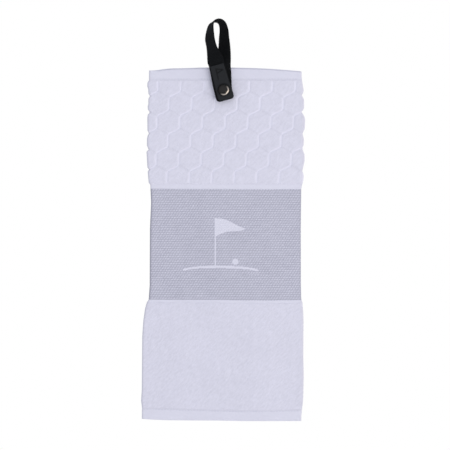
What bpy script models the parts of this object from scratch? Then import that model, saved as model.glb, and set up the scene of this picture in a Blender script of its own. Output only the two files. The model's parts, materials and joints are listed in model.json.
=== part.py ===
"""Golf towel folded in three, hung from a webbing loop with a snap-fastened rubber tab.

Metres, +Z up.  The towel hangs in the XZ plane and faces -Y.  The origin is the
inside top of the webbing loop, where a bag ring or hook would bear.

Layers, from the front (-Y) to the back (+Y): snap cap and rubber cover, tab
webbing, socket and stud, rear leg of the loop, front panel, middle panel, rear
panel.  The cloth is folded like a Z: the front panel turns back at its right
edge into the middle panel, and that one turns back at its left edge into the
rear panel.
"""
import math

import bmesh
import bpy
from mathutils import Matrix, Vector

# ---------------------------------------------------------------- clearances
GAP = 0.0003              # between two solids that touch on the real thing
LAYER_GAP = 0.0004        # between two layers of folded cloth

# ---------------------------------------------------------------- the towel
TOP_HEM_HEIGHT = 0.0146
HONEYCOMB_HEIGHT = 0.1195
UPPER_BORDER_HEIGHT = 0.0052
BAND_HEIGHT = 0.1287
LOWER_BORDER_HEIGHT = 0.0031
PLAIN_HEIGHT = 0.1225
BOTTOM_HEM_HEIGHT = 0.0128

TERRY_THICKNESS = 0.0030
HEM_THICKNESS = 0.0022
BORDER_THICKNESS = 0.0020
BAND_THICKNESS = 0.0018
THREAD_THICKNESS = 0.00025
SEAM_INSET = 0.0016       # the hem's stitching runs this far inside its inner edge
THREAD_END_INSET = 0.0010

TOWEL_TOP_Z = -0.0533     # middle of the top edge, under the loop
TOP_EDGE_SAG = 0.0038     # the corners hang this much lower than the middle
RIGHT_FOLD_X = 0.0962     # axis of the fold between the front and middle panels
LEFT_FOLD_X = -0.0735     # axis of the fold between the middle and rear panels
REAR_EDGE_X = 0.0930      # free edge of the rear panel
FOLD_END_GAP = 0.0002     # a panel's flat stops this far before its fold axis

# free edge of the front panel, zone by zone: the looped cloth stands out
# further than the tightly woven band and the hems
FREE_EDGE_HEM_X = -0.0783
FREE_EDGE_HONEYCOMB_X = -0.0808
FREE_EDGE_BORDER_X = -0.0785
FREE_EDGE_BAND_X = -0.0778
FREE_EDGE_PLAIN_TOP_X = -0.0816
FREE_EDGE_PLAIN_LOW_X = -0.0872
FREE_EDGE_BOTTOM_HEM_X = -0.0866
PLAIN_FLARE_LENGTH = 0.0120   # how quickly the plain terry widens below the band

# ---------------------------------------------------------------- the strap
WEBBING_WIDTH = 0.0200
WEBBING_THICKNESS = 0.0014
LOOP_HALF_OPENING = 0.0096    # half the loop's opening, along its slanted plane
LOOP_CROWN_HEIGHT = 0.0209    # from the loop's widest level up to its crown
LOOP_SIDE_SHIFT = 0.0005
CROWN_FULLNESS = 0.8          # 1 is a plain ellipse, less has fuller shoulders
CROWN_TIP = math.radians(9.0)  # the crown's front edge stands this much higher
REAR_LEG_LEAN = math.radians(6.6)
REAR_LEG_TAIL = 0.0090        # webbing below the rivet
REAR_LEG_FLAT = 0.0300        # flat webbing above the rivet
FRONT_LEG_FLAT = 0.0025       # the front leg lies flat just above the tab's hinge
SNAP_X = 0.0076
SNAP_Z = -0.0794
TAB_TILT = math.radians(15.3)
HINGE_TO_SNAP = 0.0316
SNAP_TO_TAB_END = 0.0122
TAB_CORNER = 0.0040
TAB_TOP_WIDTH_SHARE = 0.96    # the tab's webbing is drawn in at its sewn top

COVER_THICKNESS = 0.0014
COVER_TOP_WIDTH = 0.0160
COVER_END_WIDTH = 0.0184
COVER_TOP_DROP = 0.0018       # below the hinge line
COVER_END_INSET = 0.0006
COVER_RECESS_MARGIN = 0.0010  # dark ring round the snap cap

# ---------------------------------------------------------------- the snap
CAP_RADIUS = 0.0065
CAP_RIM = 0.0006
CAP_CROWN = 0.0016
CAP_BARREL_RADIUS = 0.0019
SOCKET_RADIUS = 0.0052
SOCKET_WALL = 0.0004
STUD_BASE_RADIUS = 0.0050
STUD_BASE_THICKNESS = 0.0006
STUD_RADIUS = 0.0021
STUD_HEIGHT = 0.0016
STUD_WALL = 0.00065
POST_RADIUS = 0.00115
POST_FLANGE_RADIUS = 0.0055
POST_FLANGE_THICKNESS = 0.0007
SNAP_SEGMENTS = 32

# ---------------------------------------------------------------- levels across the thickness
LEG_OFFSET = 0.5 * (WEBBING_THICKNESS + 3 * GAP + SOCKET_WALL
                    + STUD_BASE_THICKNESS + STUD_HEIGHT)
REAR_LEG_BACK = LEG_OFFSET + WEBBING_THICKNESS / 2
REAR_LEG_FRONT = LEG_OFFSET - WEBBING_THICKNESS / 2
LAYER_PITCH = TERRY_THICKNESS + LAYER_GAP
FRONT_Y = REAR_LEG_BACK + GAP + TERRY_THICKNESS / 2
MIDDLE_Y = FRONT_Y + LAYER_PITCH
REAR_Y = MIDDLE_Y + LAYER_PITCH
RIGHT_FOLD_Y = (FRONT_Y + MIDDLE_Y) / 2
LEFT_FOLD_Y = (MIDDLE_Y + REAR_Y) / 2
FOLD_OUTER_RADIUS = LAYER_PITCH / 2 + TERRY_THICKNESS / 2
FOLD_INNER_RADIUS = LAYER_GAP / 2 + GAP

TOWEL_HEIGHT = (TOP_HEM_HEIGHT + HONEYCOMB_HEIGHT + UPPER_BORDER_HEIGHT + BAND_HEIGHT
                + LOWER_BORDER_HEIGHT + PLAIN_HEIGHT + BOTTOM_HEM_HEIGHT)
HINGE_X = SNAP_X - HINGE_TO_SNAP * math.sin(TAB_TILT)
HINGE_Z = SNAP_Z + HINGE_TO_SNAP * math.cos(TAB_TILT)
KNUCKLE = WEBBING_THICKNESS / 2     # both webbing ends are rounded at the hinge
STATIONS_PER_SPAN = 6

# ---------------------------------------------------------------- finishes
WHITE_TERRY = ("white_terry", (0.69, 0.69, 0.79), 0.95, 0.0)
HEM_CLOTH = ("hem_cloth", (0.71, 0.71, 0.80), 0.92, 0.0)
GREY_WEAVE = ("grey_weave", (0.48, 0.49, 0.60), 0.90, 0.0)
WHITE_THREAD = ("white_thread", (0.66, 0.66, 0.75), 0.85, 0.0)
BLACK_WEBBING = ("black_webbing", (0.010, 0.011, 0.012), 0.75, 0.0)
BLACK_RUBBER = ("black_rubber", (0.018, 0.020, 0.022), 0.55, 0.0)
DARK_NICKEL = ("dark_nickel", (0.20, 0.18, 0.17), 0.25, 1.0)


def clear_scene():
    """Remove whatever the file opened with."""
    for obj in list(bpy.data.objects):
        bpy.data.objects.remove(obj, do_unlink=True)


def finish(spec):
    """Return the Principled material for a (name, colour, roughness, metallic) tuple."""
    name, colour, roughness, metallic = spec
    found = bpy.data.materials.get(name)
    if found:
        return found
    made = bpy.data.materials.new(name)
    made.use_nodes = True
    shader = made.node_tree.nodes["Principled BSDF"]
    shader.inputs["Base Color"].default_value = (*colour, 1.0)
    shader.inputs["Roughness"].default_value = roughness
    shader.inputs["Metallic"].default_value = metallic
    return made


def joint_frame(name, place, turn_y=0.0):
    """An empty on a joint's axis, turned about Y, that carries a moving body."""
    frame = bpy.data.objects.new(name, None)
    frame.location = place
    frame.rotation_euler = (0.0, turn_y, 0.0)
    bpy.context.scene.collection.objects.link(frame)
    return frame


def add_part(name, bm, spec, frame=None, world_mesh=True, smooth=False):
    """Turn a bmesh into a named object; a world mesh is moved into its frame's space."""
    bmesh.ops.recalc_face_normals(bm, faces=bm.faces)
    mesh = bpy.data.meshes.new(name)
    bm.to_mesh(mesh)
    bm.free()
    if smooth:
        mesh.shade_smooth()
        mesh.set_sharp_from_angle(angle=math.radians(35))
    mesh.materials.append(finish(spec))
    part = bpy.data.objects.new(name, mesh)
    bpy.context.scene.collection.objects.link(part)
    if frame:
        part.parent = frame
        if world_mesh:
            mesh.transform(Matrix.Translation(-frame.location))
    return part


def prism(outline, y_front, y_back):
    """A closed prism: an outline of (x, z) points carried from y_front to y_back."""
    bm = bmesh.new()
    front = [bm.verts.new((x, y_front, z)) for x, z in outline]
    face = bm.faces.new(front)
    grown = bmesh.ops.extrude_face_region(bm, geom=[face])
    moved = [item for item in grown["geom"] if isinstance(item, bmesh.types.BMVert)]
    bmesh.ops.translate(bm, verts=moved, vec=(0.0, y_back - y_front, 0.0))
    return bm


def turned(profile, centre, segments=SNAP_SEGMENTS, closed=False):
    """Turn (radius, y) points about the Y axis through centre (x, z).

    An open profile starts and ends on the axis; a closed one makes a ring.
    """
    bm = bmesh.new()
    rings = []
    for radius, y in profile:
        if radius < 1e-7:
            rings.append([bm.verts.new((centre[0], y, centre[1]))])
            continue
        angles = [2 * math.pi * k / segments for k in range(segments)]
        rings.append([
            bm.verts.new((centre[0] + radius * math.cos(a), y, centre[1] + radius * math.sin(a)))
            for a in angles
        ])
    pairs = list(zip(rings, rings[1:]))
    if closed:
        pairs.append((rings[-1], rings[0]))
    for near, far in pairs:
        for k in range(segments):
            nxt = (k + 1) % segments
            if len(near) == 1:
                bm.faces.new((near[0], far[nxt], far[k]))
            elif len(far) == 1:
                bm.faces.new((near[k], near[nxt], far[0]))
            else:
                bm.faces.new((near[k], near[nxt], far[nxt], far[k]))
    return bm


def cut(part, bm, name):
    """Cut a closed shape, given in world space, out of a part."""
    bmesh.ops.recalc_face_normals(bm, faces=bm.faces)
    mesh = bpy.data.meshes.new(name)
    bm.to_mesh(mesh)
    bm.free()
    cutter = bpy.data.objects.new(name, mesh)
    bpy.context.scene.collection.objects.link(cutter)
    cutter.hide_render = True
    cutter.display_type = "WIRE"
    modifier = part.modifiers.new(name, "BOOLEAN")
    modifier.operation = "DIFFERENCE"
    modifier.solver = "EXACT"
    modifier.object = cutter


# ---------------------------------------------------------------- towel
def zone_list():
    """Name, height, thickness, finish and free-edge x (top, bottom) of each zone, top down."""
    return (
        ("top_hem", TOP_HEM_HEIGHT, HEM_THICKNESS, HEM_CLOTH,
         FREE_EDGE_HEM_X, FREE_EDGE_HEM_X),
        ("honeycomb_terry", HONEYCOMB_HEIGHT, TERRY_THICKNESS, WHITE_TERRY,
         FREE_EDGE_HONEYCOMB_X, FREE_EDGE_HONEYCOMB_X),
        ("upper_border", UPPER_BORDER_HEIGHT, BORDER_THICKNESS, HEM_CLOTH,
         FREE_EDGE_BORDER_X, FREE_EDGE_BORDER_X),
        ("woven_band", BAND_HEIGHT, BAND_THICKNESS, GREY_WEAVE,
         FREE_EDGE_BAND_X, FREE_EDGE_BAND_X),
        ("lower_border", LOWER_BORDER_HEIGHT, BORDER_THICKNESS, HEM_CLOTH,
         FREE_EDGE_BAND_X, FREE_EDGE_BAND_X),
        ("plain_terry", PLAIN_HEIGHT, TERRY_THICKNESS, WHITE_TERRY,
         FREE_EDGE_PLAIN_TOP_X, FREE_EDGE_PLAIN_LOW_X),
        ("bottom_hem", BOTTOM_HEM_HEIGHT, HEM_THICKNESS, HEM_CLOTH,
         FREE_EDGE_BOTTOM_HEM_X, FREE_EDGE_BOTTOM_HEM_X),
    )


def top_edge_z(x):
    """Height of the arched top edge: a parabola, highest between the two folds."""
    middle = (RIGHT_FOLD_X + LEFT_FOLD_X) / 2
    half = (RIGHT_FOLD_X - LEFT_FOLD_X) / 2
    return TOWEL_TOP_Z - TOP_EDGE_SAG * ((x - middle) / half) ** 2


def zone_outline(x_left_top, x_left_low, x_right, z_top, z_low, arched):
    """Outline of one zone; the flare and the arch are the only curved sides."""
    steps = 10
    if arched:
        top = [(x_left_top + (x_right - x_left_top) * k / steps) for k in range(steps + 1)]
        outline = [(x, top_edge_z(x)) for x in top]
    else:
        outline = [(x_left_top, z_top), (x_right, z_top)]
    outline += [(x_right, z_low), (x_left_low, z_low)]
    if x_left_top != x_left_low:
        for k in range(steps - 1, 0, -1):
            drop = (z_top - z_low) * (k / steps) ** 2
            widened = 1 - math.exp(-drop / PLAIN_FLARE_LENGTH)
            outline.append((x_left_top + (x_left_low - x_left_top) * widened, z_top - drop))
    return outline


def hem_thread(x_left, x_right, z, y_middle, side):
    """One line of stitching that lies on the cloth's right side, just clear of it."""
    near = y_middle + side * (HEM_THICKNESS / 2 + GAP)
    far = near + side * THREAD_THICKNESS
    half = THREAD_THICKNESS / 2
    outline = [(x_left, z + half), (x_right, z + half), (x_right, z - half), (x_left, z - half)]
    return prism(outline, min(near, far), max(near, far))


def build_panel(panel, y_middle, side, frame, edge_left=None, edge_right=None):
    """Build one layer of the folded towel, zone by zone.

    edge_left is None for the panel whose left side is the shaped free edge.
    side is -1 where the cloth's right side faces the front and +1 where it faces back.
    """
    z_top = TOWEL_TOP_Z
    for name, height, thickness, spec, free_top, free_low in zone_list():
        z_low = z_top - height
        left_top = free_top if edge_left is None else edge_left
        left_low = free_low if edge_left is None else edge_left
        upper = z_top if name == "top_hem" else z_top - GAP / 2
        lower = z_low if name == "bottom_hem" else z_low + GAP / 2
        outline = zone_outline(left_top, left_low, edge_right, upper, lower, name == "top_hem")
        bm = prism(outline, y_middle - thickness / 2, y_middle + thickness / 2)
        add_part(f"{panel}_{name}", bm, spec, frame)
        if name.endswith("hem"):
            seam_z = z_low + SEAM_INSET if name == "top_hem" else z_top - SEAM_INSET
            thread = hem_thread(left_top + THREAD_END_INSET, edge_right - THREAD_END_INSET,
                                seam_z, y_middle, side)
            add_part(f"{panel}_{name}_thread", thread, WHITE_THREAD, frame)
        z_top = z_low


def fold_strip(centre_x, centre_y, side, frame, name):
    """The cloth that turns round a fold: a half ring about the fold's axis, full height."""
    steps = 8
    z_top = top_edge_z(centre_x)
    z_low = TOWEL_TOP_Z - TOWEL_HEIGHT
    bm = bmesh.new()
    arc = [math.pi * k / steps - math.pi / 2 for k in range(steps + 1)]
    rim = [(FOLD_OUTER_RADIUS, a) for a in arc] + [(FOLD_INNER_RADIUS, a) for a in reversed(arc)]
    start = centre_x + side * (GAP - FOLD_END_GAP)
    section = [bm.verts.new((start + side * r * math.cos(a), centre_y + r * math.sin(a), z_top))
               for r, a in rim]
    face = bm.faces.new(section)
    grown = bmesh.ops.extrude_face_region(bm, geom=[face])
    moved = [item for item in grown["geom"] if isinstance(item, bmesh.types.BMVert)]
    bmesh.ops.translate(bm, verts=moved, vec=(0.0, 0.0, z_low - z_top))
    add_part(name, bm, WHITE_TERRY, frame, smooth=True)


def build_towel(pivot, middle_fold, rear_fold):
    """The three panels, the two folds and the hole that the rivet passes through."""
    right_end = RIGHT_FOLD_X - FOLD_END_GAP
    left_end = LEFT_FOLD_X + FOLD_END_GAP
    build_panel("front", FRONT_Y, -1, pivot, None, right_end)
    build_panel("middle", MIDDLE_Y, 1, middle_fold, left_end, right_end)
    build_panel("rear", REAR_Y, -1, rear_fold, left_end, REAR_EDGE_X)
    fold_strip(RIGHT_FOLD_X, RIGHT_FOLD_Y, 1, middle_fold, "right_fold")
    fold_strip(LEFT_FOLD_X, LEFT_FOLD_Y, -1, rear_fold, "left_fold")
    back = FRONT_Y + TERRY_THICKNESS / 2
    recess = POST_FLANGE_THICKNESS + 2 * GAP
    spare = 0.001
    hole_radius = POST_RADIUS + GAP
    profile = [(0.0, FRONT_Y - TERRY_THICKNESS), (hole_radius, FRONT_Y - TERRY_THICKNESS),
               (hole_radius, back - recess), (POST_FLANGE_RADIUS + GAP, back - recess),
               (POST_FLANGE_RADIUS + GAP, back + spare), (0.0, back + spare)]
    terry = bpy.data.objects["front_honeycomb_terry"]
    cut(terry, turned(profile, (SNAP_X, SNAP_Z)), "rivet_hole_in_towel")


# ---------------------------------------------------------------- strap
def rear_leg_point(distance):
    """A point on the rear leg's middle line, measured from the rivet up the leg."""
    return (SNAP_X - distance * math.sin(REAR_LEG_LEAN), LEG_OFFSET,
            SNAP_Z + distance * math.cos(REAR_LEG_LEAN))


def above_hinge(distance):
    """A point on the front leg's middle line, this far above the tab's hinge."""
    return (HINGE_X - distance * math.sin(TAB_TILT), -LEG_OFFSET,
            HINGE_Z + distance * math.cos(TAB_TILT))


def crown_point(turn_deg, yaw_deg):
    """A point on the loop's crown: a full-shouldered half ellipse in a yawed upright plane."""
    turn = math.radians(turn_deg)
    yaw = math.radians(yaw_deg)
    reach = -LOOP_HALF_OPENING * math.copysign(abs(math.cos(turn)) ** CROWN_FULLNESS,
                                               math.cos(turn))
    widest_z = WEBBING_THICKNESS / 2 - LOOP_CROWN_HEIGHT
    return (LOOP_SIDE_SHIFT - reach * math.sin(yaw), -reach * math.cos(yaw),
            widest_z + LOOP_CROWN_HEIGHT * math.sin(turn))


def loop_stations():
    """Middle line and yaw (degrees) of the webbing, from the rear tail to the tab hinge."""
    end_reach = 2 * KNUCKLE + GAP
    end = above_hinge(end_reach)
    widest_z = WEBBING_THICKNESS / 2 - LOOP_CROWN_HEIGHT
    rear_top = rear_leg_point(REAR_LEG_FLAT)
    rear_tail = (SNAP_X + REAR_LEG_TAIL * math.sin(TAB_TILT), LEG_OFFSET,
                 SNAP_Z - REAR_LEG_TAIL * math.cos(TAB_TILT))
    stations = [
        (rear_tail, 0.0),
        (rear_leg_point(0.0), 0.0),
        (rear_leg_point(REAR_LEG_FLAT / 2), 0.0),
        (rear_top, 0.0),
    ]
    right = crown_point(0.0, 53.0)
    for share, yaw in ((0.30, 14.0), (0.62, 36.0)):
        ease = share * share * (3 - 2 * share)
        stations.append(((rear_top[0] + (right[0] - rear_top[0]) * ease,
                          rear_top[1] + (right[1] - rear_top[1]) * ease,
                          rear_top[2] + (right[2] - rear_top[2]) * share), yaw))
    for turn, yaw in ((0, 53), (30, 62), (60, 70), (90, 77), (120, 81), (150, 77), (180, 66)):
        stations.append((crown_point(turn, yaw), float(yaw)))
    left = crown_point(180.0, 66.0)
    flat_top = above_hinge(end_reach + FRONT_LEG_FLAT)
    for share, yaw, sideways in ((0.38, 60.0, 0.31), (0.72, 42.0, 0.66)):
        stations.append(((left[0] + (flat_top[0] - left[0]) * sideways,
                          left[1] + (flat_top[1] - left[1]) * share,
                          widest_z + (flat_top[2] - widest_z) * share), yaw))
    stations += [(flat_top, 10.0), (end, 0.0)]
    return stations


def through_points(points, per_span):
    """A smooth curve through the points: each span is a Catmull-Rom cubic."""
    padded = [2 * points[0] - points[1], *points, 2 * points[-1] - points[-2]]
    curve = []
    for a, b, c, d in zip(padded, padded[1:], padded[2:], padded[3:]):
        for k in range(per_span):
            t = k / per_span
            curve.append(0.5 * (2 * b + (c - a) * t + (2 * a - 5 * b + 4 * c - d) * t * t
                                + (3 * b - a - 3 * c + d) * t * t * t))
    curve.append(points[-1])
    return curve


def ribbon(stations, rounded_end):
    """Carry the webbing's section along the stations; yaw turns its width about Z.

    Above the loop's widest level the width also tips, so its front edge stands higher.
    """
    widest_z = WEBBING_THICKNESS / 2 - LOOP_CROWN_HEIGHT
    packed = [Vector((*point, math.radians(yaw))) for point, yaw in stations]
    curve = through_points(packed, STATIONS_PER_SPAN)
    samples = [(Vector(item[:3]), item[3], 1.0) for item in curve]
    if rounded_end:
        last, yaw, _ = samples[-1]
        ahead = (last - samples[-2][0]).normalized()
        for turn in (30.0, 55.0, 75.0):
            reach = KNUCKLE * math.sin(math.radians(turn))
            samples.append((last + ahead * reach, yaw, math.cos(math.radians(turn))))
    bm = bmesh.new()
    rings = []
    for index, (point, yaw, share) in enumerate(samples):
        before = samples[max(index - 1, 0)][0]
        after = samples[min(index + 1, len(samples) - 1)][0]
        along = (after - before).normalized()
        rise = max(0.0, (point.z - widest_z) / LOOP_CROWN_HEIGHT)
        width = Vector((math.cos(yaw), -math.sin(yaw), math.tan(CROWN_TIP) * rise))
        width = (width - along * width.dot(along)).normalized()
        normal = along.cross(width).normalized()
        half_w = width * (WEBBING_WIDTH / 2)
        half_t = normal * (WEBBING_THICKNESS / 2 * share)
        corners = (half_w + half_t, half_w - half_t, -half_w - half_t, -half_w + half_t)
        rings.append([bm.verts.new(point + corner) for corner in corners])
    for near, far in zip(rings, rings[1:]):
        for k in range(4):
            bm.faces.new((near[k], near[(k + 1) % 4], far[(k + 1) % 4], far[k]))
    bm.faces.new(rings[0])
    bm.faces.new(rings[-1])
    return bm


def tab_outline(top_half, end_half, top, end, corner):
    """Tab outline in its own frame: a taper with two rounded lower corners."""
    outline = [(-top_half, top), (top_half, top)]
    arc = [math.pi / 2 * k / 5 for k in range(6)]
    outline += [(end_half - corner + corner * math.cos(a), end + corner - corner * math.sin(a))
                for a in arc]
    outline += [(-end_half + corner - corner * math.sin(a), end + corner - corner * math.cos(a))
                for a in arc]
    return outline


def build_tab(hinge):
    """Webbing tab, rubber cover, snap cap and socket, in the tab's own tilted frame."""
    snap = (0.0, -HINGE_TO_SNAP)
    end = -HINGE_TO_SNAP - SNAP_TO_TAB_END
    half = WEBBING_WIDTH / 2
    outline = tab_outline(half * TAB_TOP_WIDTH_SHARE, half, 0.0, end, TAB_CORNER)
    depth = WEBBING_THICKNESS / 2
    bm = prism(outline, -depth, depth)
    bmesh.ops.recalc_face_normals(bm, faces=bm.faces)
    top_edges = [e for e in bm.edges
                 if all(abs(v.co.z) < 1e-7 for v in e.verts)
                 and abs(e.verts[0].co.y - e.verts[1].co.y) < 1e-7]
    bmesh.ops.translate(bm, verts=[v for v in bm.verts if abs(v.co.z) < 1e-7],
                        vec=(0.0, 0.0, KNUCKLE))
    bmesh.ops.bevel(bm, geom=top_edges, offset=KNUCKLE * 0.98, segments=4, profile=0.5,
                    affect="EDGES")
    webbing = add_part("tab_webbing", bm, BLACK_WEBBING, hinge, world_mesh=False)

    cover = tab_outline(COVER_TOP_WIDTH / 2, COVER_END_WIDTH / 2, -COVER_TOP_DROP,
                        end + COVER_END_INSET, TAB_CORNER)
    cover_back = -depth - GAP
    bm = prism(cover, cover_back - COVER_THICKNESS, cover_back)
    rubber = add_part("tab_cover", bm, BLACK_RUBBER, hinge, world_mesh=False)

    barrel_end = depth + GAP + SOCKET_WALL - GAP / 2
    cap_back = cover_back
    dome = [(CAP_RADIUS * math.sin(math.radians(a)),
             cap_back - CAP_RIM - CAP_CROWN * math.cos(math.radians(a)))
            for a in range(0, 91, 15)]
    profile = dome + [(CAP_RADIUS, cap_back), (CAP_BARREL_RADIUS, cap_back),
                      (CAP_BARREL_RADIUS, barrel_end), (0.0, barrel_end)]
    add_part("snap_cap", turned(profile, snap), DARK_NICKEL, hinge, False, smooth=True)

    front = depth + GAP
    back = front + SOCKET_WALL + STUD_HEIGHT
    bore = CAP_BARREL_RADIUS + GAP
    cavity = STUD_RADIUS + GAP
    profile = [(bore, front), (SOCKET_RADIUS * 0.8, front), (SOCKET_RADIUS, front + 0.0004),
               (SOCKET_RADIUS, back - 0.0004), (SOCKET_RADIUS * 0.92, back), (cavity, back),
               (cavity, front + SOCKET_WALL), (bore, front + SOCKET_WALL)]
    add_part("snap_socket", turned(profile, snap, closed=True), DARK_NICKEL, hinge, False,
             smooth=True)

    holes = ((webbing, bore, "cap_hole_in_webbing", -0.002, 0.002),
             (rubber, CAP_RADIUS + COVER_RECESS_MARGIN, "cap_hole_in_cover", -0.006, 0.0))
    for part, radius, name, y0, y1 in holes:
        shape = turned([(0.0, y0), (radius, y0), (radius, y1), (0.0, y1)], snap)
        cut(part, shape, name)
        bpy.data.objects[name].parent = hinge


def build_strap():
    """Webbing loop, stud and post: the half of the snap that holds the towel."""
    loop = add_part("strap_loop", ribbon(loop_stations(), True), BLACK_WEBBING)
    hole = POST_RADIUS + GAP
    profile = [(0.0, REAR_LEG_FRONT - GAP), (hole, REAR_LEG_FRONT - GAP),
               (hole, REAR_LEG_BACK + GAP), (0.0, REAR_LEG_BACK + GAP)]
    snap = (SNAP_X, SNAP_Z)
    cut(loop, turned(profile, snap, segments=16), "rivet_hole_in_webbing")

    base_back = REAR_LEG_FRONT - GAP
    base_front = base_back - STUD_BASE_THICKNESS
    tip = base_front - STUD_HEIGHT
    bore = POST_RADIUS + GAP
    profile = [(0.0, tip), (STUD_RADIUS * 0.8, tip), (STUD_RADIUS, tip + 0.0004),
               (STUD_RADIUS, tip + 0.0008), (STUD_RADIUS * 0.94, base_front),
               (STUD_BASE_RADIUS * 0.97, base_front), (STUD_BASE_RADIUS, base_back),
               (bore, base_back), (bore, tip + STUD_WALL), (0.0, tip + STUD_WALL)]
    add_part("snap_stud", turned(profile, snap), DARK_NICKEL, smooth=True)

    flange_back = FRONT_Y + TERRY_THICKNESS / 2 - GAP / 2
    flange_front = flange_back - POST_FLANGE_THICKNESS
    post_tip = tip + STUD_WALL + GAP
    profile = [(0.0, post_tip), (POST_RADIUS, post_tip), (POST_RADIUS, flange_front),
               (POST_FLANGE_RADIUS, flange_front), (POST_FLANGE_RADIUS, flange_back - 0.0002),
               (POST_FLANGE_RADIUS * 0.95, flange_back), (0.0, flange_back)]
    add_part("snap_post", turned(profile, snap), DARK_NICKEL, smooth=True)


def build():
    """Make the whole part."""
    clear_scene()
    height_mid = TOWEL_TOP_Z - TOWEL_HEIGHT / 2
    pivot = joint_frame("towel_pivot_axis", (SNAP_X, 0.0, SNAP_Z))
    middle_fold = joint_frame("right_fold_axis", (RIGHT_FOLD_X, RIGHT_FOLD_Y, height_mid))
    rear_fold = joint_frame("left_fold_axis", (LEFT_FOLD_X, LEFT_FOLD_Y, height_mid))
    hinge = joint_frame("tab_hinge_axis", (HINGE_X, -LEG_OFFSET, HINGE_Z), turn_y=-TAB_TILT)
    build_strap()
    build_tab(hinge)
    build_towel(pivot, middle_fold, rear_fold)


build()
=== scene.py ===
"""Golf towel folded in three on a webbing snap loop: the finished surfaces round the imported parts.

Metres, +Z up; the towel faces -Y.  Tables of guide points are in mm.
"""
import json
import math

import bpy
import numpy as np
from bpy.props import FloatProperty, FloatVectorProperty, PointerProperty
from bpy.types import Operator, Panel, PropertyGroup
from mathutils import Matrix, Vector


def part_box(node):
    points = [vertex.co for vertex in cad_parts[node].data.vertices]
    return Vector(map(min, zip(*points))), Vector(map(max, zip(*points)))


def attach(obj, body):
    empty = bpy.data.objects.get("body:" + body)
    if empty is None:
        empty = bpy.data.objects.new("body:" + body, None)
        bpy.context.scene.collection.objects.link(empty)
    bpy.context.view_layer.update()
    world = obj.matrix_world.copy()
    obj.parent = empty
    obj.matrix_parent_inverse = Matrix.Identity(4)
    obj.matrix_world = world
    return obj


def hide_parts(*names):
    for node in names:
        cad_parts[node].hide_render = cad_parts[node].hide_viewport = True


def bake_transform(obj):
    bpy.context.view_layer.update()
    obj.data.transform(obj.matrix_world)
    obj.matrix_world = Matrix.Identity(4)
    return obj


bl_info = {
    "name": "Golf Towel",
    "version": (1, 0, 0),
    "blender": (4, 5, 0),
    "location": "View3D > Sidebar > Golf Towel",
    "description": "Builds a folded golf towel with its webbing loop, rubber tab and snap",
    "category": "Object",
}

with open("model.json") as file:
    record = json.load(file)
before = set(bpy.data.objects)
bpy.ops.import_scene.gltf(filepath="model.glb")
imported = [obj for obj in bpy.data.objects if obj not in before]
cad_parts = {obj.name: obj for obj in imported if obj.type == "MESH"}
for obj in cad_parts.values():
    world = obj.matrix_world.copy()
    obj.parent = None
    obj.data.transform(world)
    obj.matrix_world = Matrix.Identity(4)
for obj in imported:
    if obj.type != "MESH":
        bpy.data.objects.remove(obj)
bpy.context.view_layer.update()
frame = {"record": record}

MM = 0.001
TURN = 2 * math.pi

# ------------------------------------------------------------------ places taken from the frame
JOINTS = {joint["name"]: joint["pos_m"] for joint in frame["record"]["behaviour"]["joints"]}
RIGHT_AXIS_X, RIGHT_AXIS_Y, _ = JOINTS["right_fold_hinge"]
LEFT_AXIS_X, LEFT_AXIS_Y, _ = JOINTS["left_fold_hinge"]
HINGE_X, HINGE_Y, HINGE_Z = JOINTS["tab_swing"]
SNAP_X, _, SNAP_Z = JOINTS["towel_pivot"]
ZONES = ("top_hem", "honeycomb_terry", "upper_border", "woven_band",
         "lower_border", "plain_terry", "bottom_hem")


def cad_range(node, axis):
    """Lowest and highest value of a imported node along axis 0, 1 or 2."""
    low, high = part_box(node)
    return low[axis], high[axis]


def zone_levels():
    """The eight heights that bound the seven zones, top down; neighbours share a gap's middle."""
    ranges = [cad_range(f"front_{zone}", 2) for zone in ZONES]
    inner = [(upper[0] + lower[1]) / 2 for upper, lower in zip(ranges, ranges[1:])]
    return [ranges[0][1], *inner, ranges[-1][0]]


LEVELS = zone_levels()
SPAN = dict(zip(ZONES, zip(LEVELS, LEVELS[1:])))    # each zone's top and foot
LAYER_Y = {panel: sum(cad_range(f"{panel}_plain_terry", 1)) / 2
           for panel in ("front", "middle", "rear")}
THICKNESS = {zone: cad_range(f"rear_{zone}", 1)[1] - cad_range(f"rear_{zone}", 1)[0]
             for zone in ZONES}
HALF_PITCH = (LAYER_Y["middle"] - LAYER_Y["front"]) / 2
HALF_GAP = (LAYER_Y["middle"] - LAYER_Y["front"] - THICKNESS["plain_terry"]) / 2
REAR_EDGE_X = cad_range("rear_plain_terry", 0)[1]

# ------------------------------------------------------------------ the towel's outline, in mm
# height and the x of the free edge, and of the right fold, at that height
FREE_EDGE = (
    (-50, -78.4), (-63.5, -78.6), (-68.1, -78.6), (-70.4, -80.3), (-75, -80.5), (-78.5, -79.4),
    (-83.1, -79.2), (-86.4, -77.4), (-88.9, -79.2), (-95.8, -79.3), (-98.1, -80.1),
    (-101.6, -79.8), (-105.1, -77.3), (-107.4, -79.9), (-110.8, -80.4), (-125.8, -80.3),
    (-129.3, -78.4), (-131.5, -80.0), (-135.1, -80.8), (-143.2, -80.9), (-148, -78.9),
    (-150.1, -81.4), (-159.3, -80.9), (-168.6, -80.3), (-170.9, -78.4), (-173.2, -80),
    (-185.9, -78.9), (-188.2, -77.0), (-209, -76.1), (-239, -77.4), (-304.8, -77.7),
    (-321.3, -78.9), (-324.4, -81.0), (-331.3, -83.0), (-345, -85.0), (-363.7, -86.3),
    (-424.9, -86.8), (-438.7, -87.6), (-446.8, -86.6), (-466, -86.9))
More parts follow.
